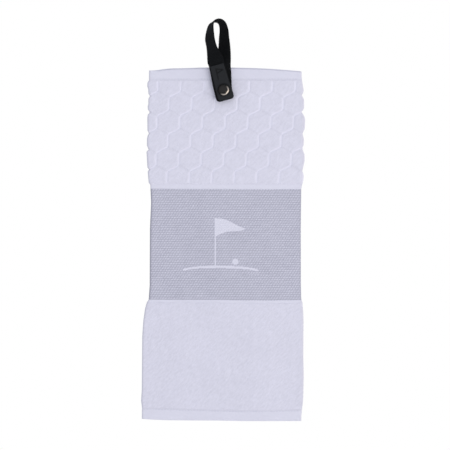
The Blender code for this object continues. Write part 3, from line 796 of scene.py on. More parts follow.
class Finish:
    """A material under construction: its tree, its shader and its coordinates."""

    def __init__(self, name, roughness, metallic=0.0, sheen=0.0, specular=0.5):
        self.material = bpy.data.materials.new(name)
        self.material.use_nodes = True
        self.tree = self.material.node_tree
        self.inputs = self.tree.nodes["Principled BSDF"].inputs
        for key, number in (("Roughness", roughness), ("Metallic", metallic),
                            ("Specular IOR Level", specular), ("Sheen Weight", sheen),
                            ("Sheen Roughness", 0.5)):
            self.inputs[key].default_value = number
        self.place = value(self.tree, "TexCoord", output="Object")

    def plane(self):
        """The cloth's own (u, v), in metres."""
        return value(self.tree, "UVMap", uv_map="cloth_plane")

    def attribute(self, name):
        """A number stored at the mesh's points."""
        return value(self.tree, "Attribute", output="Fac", attribute_name=name)

    def group(self, name, place, **numbers):
        """A shared group's outputs by name; spaces in an input's name stand as underscores."""
        inputs = {key.replace("_", " "): number for key, number in numbers.items()}
        made = node(self.tree, "Group", {"Vector": place, **inputs},
                    node_tree=shared_group(name))
        return {socket.name: Value(self.tree, socket) for socket in made.outputs}

    def mottle(self, scale):
        """The shared mottle's tone over the object."""
        return self.group("mottle", self.place, Scale=scale)["Tone"]

    def mix(self, share, first, second):
        """A colour mix; share, first and second are Values or plain numbers and colours."""
        return value(self.tree, "Mix", {0: share, 6: first, 7: second}, 2, data_type="RGBA")

    def range(self, tone, low, high):
        """A value mapped from low..high to 0..1, held at the ends."""
        return value(self.tree, "MapRange", {0: tone, 1: low, 2: high})

    def surface(self, colour, bumps=None, tone=None, rough=(0.0, 1.0)):
        """Feed the shader: a colour, bumps (height, metres, strength) and a roughness by tone."""
        feeds = {"Base Color": colour}
        if tone:
            feeds["Roughness"] = tone.scaled(rough[1] - rough[0], rough[0])
        if bumps:
            height, distance, strength = bumps
            feeds["Normal"] = value(self.tree, "Bump", {
                "Height": height, "Distance": distance, "Strength": strength})
        for key, given in feeds.items():
            self.tree.links.new(given.socket, self.inputs[key])
        return self.material


def terry_finish(name, colour, loops, contrast):
    """White looped cloth: grooves a little lighter, the pile in slow mottle, painted shade in faint
    grooves and along edges and folds.
    """
    made = Finish(name, 0.95, sheen=0.12, specular=0.2)
    pile = made.group("yarn_loops", made.plane(), Loops_per_metre=loops)
    tone = made.range(pile["Tone"] * 0.75 + made.mottle(22.0) * 0.25, 0.36, 0.64)
    groove = made.attribute("groove")
    base = made.mix(tone, tinted(colour, 1 - contrast), tinted(colour, 1 + contrast))
    base = made.mix(groove, base, tinted(colour, 1.11))
    # painted shade: the faint grooves darker
    base = made.mix(made.attribute("faint") * 0.8, base, tinted(colour, 0.91))
    # painted shade along free edges and where the cloth turns into a fold
    return made.surface(made.mix(made.attribute("edge"), base, tinted(colour, 0.84)),
                        (pile["Height"] * groove.scaled(-0.6, 1.0), 0.0005, 0.55),
                        tone, (0.90, 0.98))


def hem_finish(name, colour):
    """Flat woven hem cloth: fine crossing yarns and faint mottle, painted shade in the stitching
    channel and along edges and folds.
    """
    made = Finish(name, 0.92, sheen=0.08, specular=0.2)
    weave = made.group("broken_ribs", made.plane(), Rib_pitch=0.0009, Dash_pitch=0.0011,
                       Slant=0.5)
    tone = made.range(weave["Tone"] * 0.4 + made.mottle(40.0) * 0.6, 0.25, 0.7)
    base = made.mix(tone, tinted(colour, 0.97), tinted(colour, 1.03))
    # painted shade: darker in the channel along the stitching, along free edges and in folds
    for key in ("groove", "edge"):
        base = made.mix(made.attribute(key), base, tinted(colour, 0.84))
    return made.surface(base, (weave["Height"], 0.0002, 0.4), tone, (0.88, 0.96))


def band_finish(name, light, dark):
    """Woven band: light dashes on darker valleys, painted shade along edges and folds."""
    made = Finish(name, 0.90, sheen=0.05, specular=0.25)
    plane = made.plane()
    ribs = made.group("broken_ribs", plane, Rib_pitch=RIB_PITCH)
    fine = made.group("broken_ribs", plane, Rib_pitch=RIB_PITCH / 4, Dash_pitch=0.0008,
                      Slant=0.5)
    tone = ribs["Tone"] * 0.8 + made.mottle(25.0) * 0.2
    base = made.mix(made.range(tone, 0.15, 0.80), dark, light)
    # painted shade along free edges and where the band turns into a fold
    return made.surface(made.mix(made.attribute("edge"), base, tinted(dark, 0.80)),
                        (fine["Height"].scaled(0.25, ribs["Height"]), 0.0003, 0.5),
                        tone, (0.85, 0.95))


def thread_finish(name, colour):
    """Sewing thread: twisted plies."""
    made = Finish(name, 0.8, sheen=0.1, specular=0.3)
    plies = made.mottle(600.0)
    return made.surface(made.mix(plies, tinted(colour, 0.9), tinted(colour, 1.04)),
                        (plies, 0.0001, 0.4))


def webbing_finish(name, colour):
    """Black webbing: weft ribs broken into yarn bumps, a little lighter on the crests."""
    made = Finish(name, 0.8, specular=0.08)
    ribs = made.group("broken_ribs", made.plane(), Rib_pitch=TOOTH_PITCH, Dash_pitch=0.0013,
                      Slant=0.5)
    tone = made.range(ribs["Tone"] * 0.7 + made.mottle(120.0) * 0.3, 0.2, 0.8)
    return made.surface(made.mix(tone, tinted(colour, 0.35), tinted(colour, 2.6)),
                        (ribs["Height"], 0.0003, 0.8), tone, (0.72, 0.9))


def rubber_finish(name, colour):
    """Matt moulded rubber: fine grain and faint rub marks, and painted shade in the pressed pennant.
    """
    made = Finish(name, 0.5, specular=0.2)
    rub = made.mottle(90.0)
    base = made.mix(rub, tinted(colour, 0.85), tinted(colour, 1.25))
    # painted shade: the pressed pennant's hollow far darker
    return made.surface(made.mix(made.attribute("pressed"), base, tinted(colour, 0.2)),
                        (made.mottle(900.0), 0.00008, 0.35), rub, (0.48, 0.66))


def nickel_finish(name, colour, painted_glint_colour):
    """Dark plated metal with a painted highlight: light metal colour where the points' glint share
    is 1.
    """
    made = Finish(name, 0.25, metallic=1.0)
    haze = made.mottle(260.0)
    base = made.mix(haze, tinted(colour, 0.75), tinted(colour, 1.25))
    # painted highlight: a light crescent of colour on the cap's rim
    return made.surface(made.mix(made.attribute("worn"), base, painted_glint_colour),
                        (haze, 0.00003, 0.2), haze, (0.12, 0.26))


def floor_finish(colour):
    """Pale matt floor with a trace of mottle."""
    made = Finish("studio_floor", 0.9, specular=0.2)
    return made.surface(made.mix(made.mottle(1.5), tinted(colour, 0.98), tinted(colour, 1.02)))


FINISHES = {
    "terry": ("white_terry_pile", lambda name, s: terry_finish(name, s.terry_colour, 800.0,
                                                               0.06)),
    "velour": ("white_sheared_pile", lambda name, s: terry_finish(name, s.terry_colour, 1000.0,
                                                                  0.075)),
    "hem": ("hem_weave", lambda name, s: hem_finish(name, s.hem_colour)),
    "band": ("grey_band_weave", lambda name, s: band_finish(name, s.band_light, s.band_dark)),
    "motif": ("white_motif_weave", lambda name, s: band_finish(
        name, tinted(s.hem_colour, 1.04), tinted(s.hem_colour, 0.93))),
    "thread": ("stitching_thread", lambda name, s: thread_finish(name, s.thread_colour)),
    "webbing": ("webbing_weave", lambda name, s: webbing_finish(name, s.webbing_colour)),
    "rubber": ("moulded_rubber", lambda name, s: rubber_finish(name, s.rubber_colour)),
    "nickel": ("dark_plating", lambda name, s: nickel_finish(name, s.nickel_colour,
                                                             s.painted_glint_colour)),
}


def bind(piece, body, node_name):
    """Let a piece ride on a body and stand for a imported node."""
    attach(piece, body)
    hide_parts(node_name)
    return piece


def give(piece, finish):
    """Put one finish on a piece, made once from the settings."""
    name, make = FINISHES[finish]
    material = bpy.data.materials.get(name) or make(name, bpy.context.scene.golf_towel)
    piece.data.materials.clear()
    piece.data.materials.append(material)
    return piece


# ------------------------------------------------------------------ settings
def colour_setting(name, description, *default):
    """A colour property with its default."""
    return FloatVectorProperty(name=name, description=description, subtype="COLOR", size=3,
                               min=0.0, max=1.0, default=default)


class TowelSettings(PropertyGroup):
    """Sizes and colours of the cloth."""
    grid_step: FloatProperty(
        name="Grid step", description="Spacing of the points over the visible cloth",
        default=0.00075, min=0.0004, max=0.004, unit="LENGTH")
    terry_colour: colour_setting("Terry colour", "Colour of the white pile",
                                 0.658, 0.649, 0.737)
    hem_colour: colour_setting("Hem colour", "Colour of the flat woven cloth",
                               0.675, 0.668, 0.756)
    thread_colour: colour_setting("Thread colour", "Colour of the stitching", 0.56, 0.56, 0.66)
    band_light: colour_setting("Band, light yarn", "Colour of the band's raised dashes",
                               0.637, 0.632, 0.722)
    band_dark: colour_setting("Band, dark yarn", "Colour between the band's dashes",
                              0.353, 0.351, 0.421)
    webbing_colour: colour_setting("Webbing colour", "Colour of the strap",
                                   0.0042, 0.0046, 0.0052)
    rubber_colour: colour_setting("Rubber colour", "Colour of the tab's cover",
                                  0.0082, 0.0092, 0.0108)
    nickel_colour: colour_setting("Plating colour", "Colour of the snap's dark plating",
                                  0.026, 0.0245, 0.023)
    # colour of the painted highlight on the snap cap's rim
    painted_glint_colour: colour_setting("Worn plating", "Colour of the metal where the plating is rubbed",
                                0.46, 0.41, 0.36)


class StudioSettings(PropertyGroup):
    """Light and floor of the studio."""
    key_power: FloatProperty(name="Key light", description="Power of the large soft light",
                             default=5.0, min=0.0, unit="POWER")
    fill_share: FloatProperty(name="Surrounding light", default=0.76, min=0.0, max=2.0,
                              description="Strength of the light from all round")
    side_share: FloatProperty(name="Side light", default=1.15, min=0.0, max=8.0,
                              description="Strength of the warmer light from the lower right")
    floor_colour: colour_setting("Floor colour", "Colour of the pale floor", 0.94, 0.94, 0.95)


# ------------------------------------------------------------------ operators: cloth
class ClothOperator:
    """What the cloth operators share: the two strips of a zone, made and seated."""
    bl_options = {"REGISTER", "UNDO"}

    def make_zone(self, context, zone, relief, finish, slot, names, row_step=None, **shape):
        """The zone's front and rear pieces, each with its strip."""
        step = context.scene.golf_towel.grid_step
        pieces = []
        for name, side in zip(names, (1, -1)):
            own_step = step if side > 0 else step * REAR_STEP
            strip = Strip(side, own_step, step * HIDDEN_STEP)
            rows = zone_rows(zone, row_step or own_step)
            piece = folded_zone(name, zone, strip, rows, relief, **shape)
            seat(piece, strip, zone)
            give(piece, finish)
            pieces.append((piece, strip))
        return pieces

    def declare(self, pieces, zone, with_pieces=((), ())):
        """Work out each piece's flat size, which is not kept; with_pieces is not used."""
        for (piece, strip), company in zip(pieces, with_pieces):
            flat_size(strip, zone)


class GOLFTOWEL_OT_honeycomb(ClothOperator, Operator):
    """Honeycomb terry under the top hem"""
    bl_idname = "golf_towel.honeycomb"
    bl_label = "Honeycomb Terry"

    def execute(self, context):
        pieces = self.make_zone(context, "honeycomb_terry", honeycomb_relief, "terry",
                                "white_terry", ("honeycomb_front", "honeycomb_rear"))
        self.declare(pieces, "honeycomb_terry")
        return {"FINISHED"}


class GOLFTOWEL_OT_band(ClothOperator, Operator):
    """Grey woven band with its white edge strips"""
    bl_idname = "golf_towel.band"
    bl_label = "Woven Band"

    def execute(self, context):
        strips = [self.make_zone(context, f"{level}_border", border_relief, "hem", "hem_cloth",
                                 (f"{level}_strip_front", f"{level}_strip_rear"), BORDER_STEP,
                                 edge_share=0.92, roll=WEAVE_ROLL)
                  for level in ("upper", "lower")]
        band = self.make_zone(context, "woven_band", band_relief, "band", "grey_weave",
                              ("band_front", "band_rear"), RIB_PITCH / 4, edge_share=0.95,
                              roll=WEAVE_ROLL)
        self.declare(band, "woven_band", [(upper[0], lower[0]) for upper, lower in zip(*strips)])
        return {"FINISHED"}


class GOLFTOWEL_OT_plain(ClothOperator, Operator):
    """Sheared plain terry under the band"""
    bl_idname = "golf_towel.plain"
    bl_label = "Plain Terry"

    def execute(self, context):
        pieces = self.make_zone(context, "plain_terry", pile_relief, "velour", "white_terry",
                                ("plain_front", "plain_rear"))
        self.declare(pieces, "plain_terry")
        return {"FINISHED"}


class GOLFTOWEL_OT_hems(ClothOperator, Operator):
    """Turned hems at the top and the foot"""
    bl_idname = "golf_towel.hems"
    bl_label = "Hems"

    def execute(self, context):
        for zone, names in (("top_hem", ("top_hem_front", "top_hem_back")),
                            ("bottom_hem", ("foot_hem_front", "foot_hem_back"))):
            pieces = self.make_zone(context, zone, hem_relief, "hem", "hem_cloth", names)
            self.declare(pieces, zone)
        return {"FINISHED"}


class GOLFTOWEL_OT_stitching(Operator):
    """Rows of stitches along the hems"""
    bl_idname = "golf_towel.stitching"
    bl_label = "Stitching"
    bl_options = {"REGISTER", "UNDO"}

    def execute(self, context):
        for panel, side in (("front", -1), ("middle", 1), ("rear", -1)):
            for hem in ("top_hem", "bottom_hem"):
                node_name = f"{panel}_{hem}_thread"
                (x0, x1), (z0, z1) = cad_range(node_name, 0), cad_range(node_name, 2)
                x = np.arange(x0 + STITCH_PITCH / 2, x1 - STITCH_PITCH / 2, STITCH_PITCH)
                z = np.full_like(x, (z0 + z1) / 2)
                face = LAYER_Y[panel] + side * (THICKNESS[hem] / 2 - STITCH_SINK)
                belly = hang(x, z) if panel == "front" else 0.0
                piece = stitch_row(f"{panel}_{hem}_stitches",
                                   np.stack([x, face + belly + 0 * x, z + tilt(x, z)], -1))
                give(piece, "thread")
                bind(piece, f"{panel}_panel", node_name)
        return {"FINISHED"}


def stitch_row(name, centres):
    """A row of stitches, each a low lozenge of thread with rounded ends.

    Around x the section is an ellipse; its radius is R sqrt(1 - t^4) along the stitch.
    """
    rings, around = 7, 6
    t = np.linspace(-1, 1, rings)[:, None]
    turn = TURN * (np.arange(around) + 0.5)[None, :] / around
    radius = STITCH_RADIUS * np.sqrt(np.clip(1 - t ** 4, 0.02, 1))
    one = np.stack([STITCH_LENGTH / 2 * t + 0 * turn, radius * np.cos(turn),
                    radius * np.sin(turn) * 1.15], -1).reshape(-1, 3)
    start = np.arange(rings - 1)[:, None] * around
    here = start + np.arange(around)
    across = start + (np.arange(around) + 1) % around
    quads = np.stack([here, here + around, across + around, across], -1).reshape(-1, 4)
    caps = np.array([[0, 1, 2, 3], [0, 3, 4, 5]])
    quads = np.concatenate([quads, caps, (rings - 1) * around + caps[:, ::-1]])
    points = (centres[:, None, :] + one).reshape(-1, 3)
    faces = quads + len(one) * np.arange(len(centres))[:, None, None]
    return mesh_object(name, points, faces.reshape(-1, 4))


def motif_mask(x, z):
    """True inside a pin flag, its pole, a low green and a ball.

    x and z are mm from the motif's middle. The pennant's edges are straight lines bowed by a
    sine; the green is the top of an ellipse; the ball is a circle.
    """
    pole = (np.abs(x + 6.0) < 1.0) & (z > -27.0) & (z < 31.0)
    run = (x + 5.0) / 33.0
    bow = 1.6 * np.sin(math.pi * run * 1.6)
    pennant = (run > 0) & (run < 1) & (np.abs(z - 20.0 - bow) < 10.5 * (1 - 0.92 * run))
    green = ((x / 44.0) ** 2 + ((z + 29.5) / 5.2) ** 2 < 1) & (z > -30.5)
    gap = (x / 40.0) ** 2 + ((z + 30.3) / 3.0) ** 2 < 1
    ball = (x - 17.0) ** 2 + (z + 19.6) ** 2 < 3.6 ** 2
    return pole | pennant | (green & ~gap) | ball


class GOLFTOWEL_OT_motif(Operator):
    """Pin flag woven in white on the band"""
    bl_idname = "golf_towel.motif"
    bl_label = "Woven Motif"
    bl_options = {"REGISTER", "UNDO"}

    def execute(self, context):
        centre_z = sum(SPAN["woven_band"]) / 2
        columns, rows = (int(size / step) for size, step in zip(MOTIF_SIZE, MOTIF_STEP))
        x = MOTIF_X + (np.arange(columns + 1) - columns / 2) * MOTIF_STEP[0]
        z = (round(centre_z / RIB_PITCH) * RIB_PITCH
             + (rows / 2 - np.arange(rows + 1)) * MOTIF_STEP[1])
        gx, gz = np.meshgrid(x, z)
        cell_x, cell_z = ((grid[:-1, :-1] + grid[1:, 1:]) / 2 for grid in (gx, gz))
        inside = motif_mask((cell_x - MOTIF_X) / MM, (cell_z - centre_z) / MM)
        face = LAYER_Y["front"] - THICKNESS["woven_band"] / 2 + hang(gx, gz)
        rise = 0.00010 + 0.00012 * (0.5 + 0.5 * np.cos(TURN * gz / RIB_PITCH))
        points = np.concatenate([np.stack([gx, y, gz + tilt(gx, gz)], -1).reshape(-1, 3)
                                 for y in (face - rise, face + MOTIF_DEPTH)])
        quad = grid_faces(rows + 1, columns + 1, 0, False).reshape(rows, columns, 4)
        shift = gx.size
        padded = np.pad(inside, 1)
        quads = [quad[inside], quad[inside][:, ::-1] + shift]
        for (a, b), (down, over) in (((0, 1), (-1, 0)), ((1, 2), (0, 1)),
                                     ((2, 3), (1, 0)), ((3, 0), (0, -1))):
            bare = inside & ~padded[1 + down:1 + down + rows, 1 + over:1 + over + columns]
            near, far = quad[bare][:, a], quad[bare][:, b]
            quads.append(np.stack([far, near, near + shift, far + shift], -1))
        used, faces = np.unique(np.concatenate(quads), return_inverse=True)
        piece = mesh_object("woven_pin_flag", points[used], faces.reshape(-1, 4),
                            plane=points[used][:, [0, 2]])
        give(piece, "motif")
        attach(piece, "front_panel")
        return {"FINISHED"}


# ------------------------------------------------------------------ operators: strap
def leg_point(start, lean, distance, y):
    """A point on a leaning leg's middle line, this far above its start (x, z)."""
    return (start[0] - distance * math.sin(lean), y, start[1] + distance * math.cos(lean))


def rear_leg_point(distance):
    """A point on the rear leg's middle line, this far above the rivet."""
    return leg_point((SNAP_X, SNAP_Z), REAR_LEG_LEAN, distance, LEG_OFFSET)


def above_hinge(distance):
    """A point on the front leg's middle line, this far above the tab's hinge."""
    return leg_point((HINGE_X, HINGE_Z), TAB_TILT, distance, -LEG_OFFSET)


def crown_point(turn_deg, yaw_deg):
    """A point on the crown: a half ellipse, fuller on the left, in a yawed upright plane."""
    turn, yaw = math.radians(turn_deg), math.radians(yaw_deg)
    level = math.cos(turn)
    fullness = CROWN_FULLNESS[level < 0]
    reach = -LOOP_HALF_OPENING * math.copysign(abs(level) ** fullness, level)
    return (LOOP_SIDE_SHIFT - reach * math.sin(yaw), -reach * math.cos(yaw),
            CROWN_BASE_Z + LOOP_CROWN_HEIGHT * math.sin(turn))


def between(start, end, sideways, depth, share, yaw):
    """A station part of the way from start to end in x, y and z, with its yaw."""
    return (*(a + (b - a) * part for a, b, part in zip(start, end, (sideways, depth, share))),
            yaw)


def loop_stations():
    """Middle line (x, y, z) and yaw of the webbing, from the rear tail to just above the hinge."""
    rear_top = rear_leg_point(REAR_LEG_FLAT)
    stations = [(*leg_point((SNAP_X, SNAP_Z), TAB_TILT, -REAR_LEG_TAIL, LEG_OFFSET), 0.0),
                (*rear_leg_point(0.0), 0.0), (*rear_leg_point(REAR_LEG_FLAT / 2), 0.0),
                (*rear_top, 0.0)]
    stations += [between(rear_top, crown_point(0.0, 53.0), sideways, ease(share), share, yaw)
                 for share, yaw, sideways in ((0.30, 23.0, 0.45), (0.62, 44.0, 1.05))]
    stations += [(*crown_point(turn, yaw), face) for turn, yaw, face in (
        (0, 53, 53), (30, 62, 62), (60, 70, 70), (90, 77, 77), (120, 81, 74), (150, 77, 67),
        (180, 66, 57))]
    flat_top = above_hinge(LOOP_END + FRONT_LEG_FLAT)
    left = (*crown_point(180.0, 66.0)[:2], CROWN_BASE_Z)
    stations += [between(left, flat_top, sideways, share, share, yaw)
                 for share, yaw, sideways in ((0.38, 53.0, 0.31), (0.72, 38.0, 0.66))]
    stations += [(*flat_top, 10.0), (*above_hinge(LOOP_END), 0.0)]
    return np.array(stations)


def smooth_path(stations, per_span=24):
    """A Catmull-Rom curve through the stations, per_span samples a span."""
    padded = np.concatenate([[2 * stations[0] - stations[1]], stations,
                             [2 * stations[-1] - stations[-2]]])[:, None, :]
    a, b, c, d = padded[:-3], padded[1:-2], padded[2:-1], padded[3:]
    t = (np.arange(per_span) / per_span)[None, :, None]
    curve = 0.5 * (2 * b + (c - a) * t + (2 * a - 5 * b + 4 * c - d) * t * t
                   + (3 * b - a - 3 * c + d) * t ** 3)
    return np.concatenate([curve.reshape(-1, 4), stations[-1:]])


def webbing_relief(run, across):
    """Weft ribs across the webbing broken into yarn bumps, 0.09 mm high."""
    ribs = np.cos(TURN * run / TOOTH_PITCH)
    yarns = np.cos(TURN * (across / 0.0022 + 0.5 * run / TOOTH_PITCH))
    return 0.00005 * ribs + 0.00004 * yarns * ribs


def webbing_slab(name, middle, width, normal, half_width, run, tail_round, spare=None):
    """Flat webbing as a closed sheet: middle line plus width times u plus normal times height.

    The edges are toothed: half the width shrinks by a tooth's depth between weft yarns. The
    height over the middle falls to nothing at the edges as a quarter circle.
    """
    share = np.concatenate([-WEBBING_RIM, np.linspace(-0.87, 0.87, 25), WEBBING_RIM[::-1]])
    tooth = TOOTH_DEPTH * (0.5 - 0.5 * np.cos(TURN * run / TOOTH_PITCH))[:, None]
    near_edge = ease((np.abs(share) - 0.8) / 0.2)
    across = share * half_width[:, None] - np.sign(share) * tooth * near_edge
    if spare is not None:
        across = across + spare[:, None] * np.minimum(share, 0)
    round_edge = rounding((1 - np.abs(share)) * WEBBING_WIDTH / 2, KNUCKLE)
    near_end = run - run[0] if tail_round else run[-1] - run
    ends = np.maximum(rounding(near_end, KNUCKLE), 0.15)[:, None]
    bump = webbing_relief(run[:, None], across) * round_edge
    sides, planes = [], []
    for sign in (1, -1):
        height = (KNUCKLE * round_edge * ends + bump) * sign
        sides.append(middle[:, None, :] + width[:, None, :] * across[..., None]
                     + normal[:, None, :] * height[..., None])
        planes.append(np.stack([across, run[:, None] + 0 * across], -1))
    return slab(name, *sides, plane=planes)


class GOLFTOWEL_OT_strap(Operator):
    """Webbing loop from the rivet over the crown to the tab's hinge"""
    bl_idname = "golf_towel.strap"
    bl_label = "Webbing Loop"
    bl_options = {"REGISTER", "UNDO"}

    def execute(self, context):
        curve = smooth_path(loop_stations() * np.array([1, 1, 1, math.pi / 180]))
        steps = np.linalg.norm(np.diff(curve[:, :3], axis=0), axis=1)
        run = np.concatenate([[0], np.cumsum(steps)])
        even = np.linspace(0, run[-1], int(run[-1] / (TOOTH_PITCH / 4)) + 1)
        line = np.stack([np.interp(even, run, curve[:, k]) for k in range(4)], -1)
        middle, yaw = line[:, :3], line[:, 3]
        along = np.gradient(middle, axis=0)
        along /= np.linalg.norm(along, axis=1, keepdims=True)
        rise = np.maximum(0.0, (middle[:, 2] - CROWN_BASE_Z) / LOOP_CROWN_HEIGHT)
        width = np.stack([np.cos(yaw), -np.sin(yaw), math.tan(CROWN_TIP) * rise], -1)
        width -= along * (width * along).sum(1, keepdims=True)
        width /= np.linalg.norm(width, axis=1, keepdims=True)
        piece = webbing_slab("strap_webbing", middle, width, np.cross(along, width),
                             np.full(len(even), WEBBING_WIDTH / 2), even, True)
        give(piece, "webbing")
        bind(piece, "strap", "strap_loop")
        return {"FINISHED"}


TAB_DOWN = np.array([math.sin(TAB_TILT), 0.0, -math.cos(TAB_TILT)])
TAB_ACROSS = np.array([math.cos(TAB_TILT), 0.0, math.sin(TAB_TILT)])
HINGE = np.array([HINGE_X, HINGE_Y, HINGE_Z])


def tab_point(across, down, y):
    """World points of the tab's frame: hinge + across A + down D, at depth y from its middle."""
    across, down, y = np.broadcast_arrays(across, down, y)
    return (HINGE + across[..., None] * TAB_ACROSS + down[..., None] * TAB_DOWN
            + y[..., None] * np.array([0.0, 1.0, 0.0]))


def corner_half(down, half, end, corner):
    """Half width towards a rounded end: the quarter circle takes corner - sqrt(c^2 - d^2) off."""
    into = np.clip(down - (end - corner), 0, corner)
    return half - corner + np.sqrt(np.maximum(corner ** 2 - into ** 2, 0))


def towards_end(end, length, count):
    """Distances over the last length before an end, closer together towards it, as a sine."""
    return end - length + length * np.sin(np.linspace(0, math.pi / 2, count))


def pressed_flag(across, down):
    """True where the cover's small pennant and its pole are pressed in; sizes in mm."""
    x, z = across / MM, down / MM
    run = (x + 2.2) / 8.0
    flag = (run > 0) & (run < 1) & (np.abs(z - 8.8) < 3.2 * (1 - 0.9 * run))
    hollow = (run > 0.1) & (run < 0.68) & (np.abs(z - 8.8) < 2.0 * (1 - 1.1 * run))
    pole = (np.abs(x + 2.7) < 0.5) & (z > 5.6) & (z < 18.5)
    return (flag & ~hollow) | pole


class GOLFTOWEL_OT_tab(Operator):
    """Webbing tab below the hinge, and the moulded cover on it"""
    bl_idname = "golf_towel.tab"
    bl_label = "Tab and Cover"
    bl_options = {"REGISTER", "UNDO"}

    def execute(self, context):
        last = towards_end(TAB_END, 0.0042, 14)
        run = np.arange(-LOOP_END, last[0], TOOTH_PITCH / 4)
        run = np.concatenate([run[run < last[0] - 0.0002], last])
        taper = TAB_TOP_WIDTH_SHARE + (1 - TAB_TOP_WIDTH_SHARE) * np.clip(run / TAB_END, 0, 1)
        taper = np.where(run < 0, 1 + (TAB_TOP_WIDTH_SHARE - 1) * (1 + run / LOOP_END), taper)
        half = corner_half(run, WEBBING_WIDTH / 2 * taper, TAB_END, TAB_CORNER)
        middle = tab_point(np.zeros_like(run), run, 0.0)
        width = np.broadcast_to(TAB_ACROSS, middle.shape)
        normal = np.broadcast_to(np.array([0.0, -1.0, 0.0]), middle.shape)
        spare = TAB_SPARE * ease(run / 0.030) * (half / (WEBBING_WIDTH / 2))
        piece = webbing_slab("tab_weave", middle, width, normal, half, run, False, spare)
        give(piece, "webbing")
        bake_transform(piece)
        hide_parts("tab_webbing")
        give(self.cover(), "rubber")
        return {"FINISHED"}

    @staticmethod
    def cover():
        """Moulded cover: a heightfield over the tab's outline.

        The rim is rounded by a quarter circle, the recess round the snap drops to the webbing,
        and a small pennant is pressed in.
        """
        down = np.concatenate([
            COVER_TOP + np.array([0.0, 0.00006, 0.00018, 0.00036, 0.0006]),
            np.arange(COVER_TOP + 0.0008, COVER_END - 0.0045, 0.00024),
            towards_end(COVER_END, 0.0044, 34)])
        down = down if len(down) % 2 else np.delete(down, 20)
        line = COVER_HALVES[0] + (COVER_HALVES[1] - COVER_HALVES[0]) * (
            (down - COVER_TOP) / (COVER_END - COVER_TOP))
        half = corner_half(down, line, COVER_END, TAB_CORNER)
        inner = np.linspace(-1, 1, 77)[1:-1]
        rim = np.array([0.0, 0.007, 0.02, 0.04])
        share = np.concatenate([-1 + rim, inner[np.abs(inner) < 0.94], (1 - rim)[::-1]])
        share = share if len(share) % 2 else np.delete(share, len(share) // 2)
        across = share * half[:, None]
        rows = down[:, None] + 0 * across
        centre = COVER_END - TAB_CORNER
        corner_off = np.hypot(np.maximum(np.abs(across) - (line - TAB_CORNER)[:, None], 0),
                              np.maximum(rows - centre, 0))
        side_gap = np.where(rows > centre, TAB_CORNER - corner_off,
                            line[:, None] - np.abs(across))
        gap = np.maximum(np.minimum(side_gap, rows - COVER_TOP), 0)
        off = np.hypot(across, rows - HINGE_TO_SNAP) - CAP_RECESS
        lip = 0.00016 * np.exp(-((off - 0.0008) / 0.0005) ** 2)
        height = COVER_THICKNESS - COVER_BEVEL * (1 - rounding(gap, COVER_BEVEL)) + lip
        height = RECESS_FLOOR + (height - RECESS_FLOOR) * ease((off + 0.0001) / 0.0003)
        pressed = pressed_flag(across, rows) * 1.0
        back = np.full_like(across, -KNUCKLE - GAP)
        front_points = tab_point(across, rows, back - height + PRESSED_DEPTH * pressed)
        back_points = tab_point(across, rows, back)[::2, ::2]
        # pressed also darkens the rubber's colour there: painted shade in the pennant's hollow
        facts = {"pressed": (pressed, np.zeros(back_points.shape[:2]))}
        return bind(slab("moulded_cover", front_points, back_points, facts), "snap_tab",
                    "tab_cover")


def painted_glint_share(points):
    """Where the cap's painted highlight lies: near its rim, and on the side that is turned to."""
    x, z = points[:, 0] - SNAP_X, points[:, 2] - SNAP_Z
    out = np.hypot(x, z)
    towards = (x * PAINTED_GLINT_SIDE[0] + z * PAINTED_GLINT_SIDE[1]) / (out + 1e-9)
    return ease((out / CAP_RADIUS - 0.64) / 0.2) * ease((towards + 0.15) / 0.75)


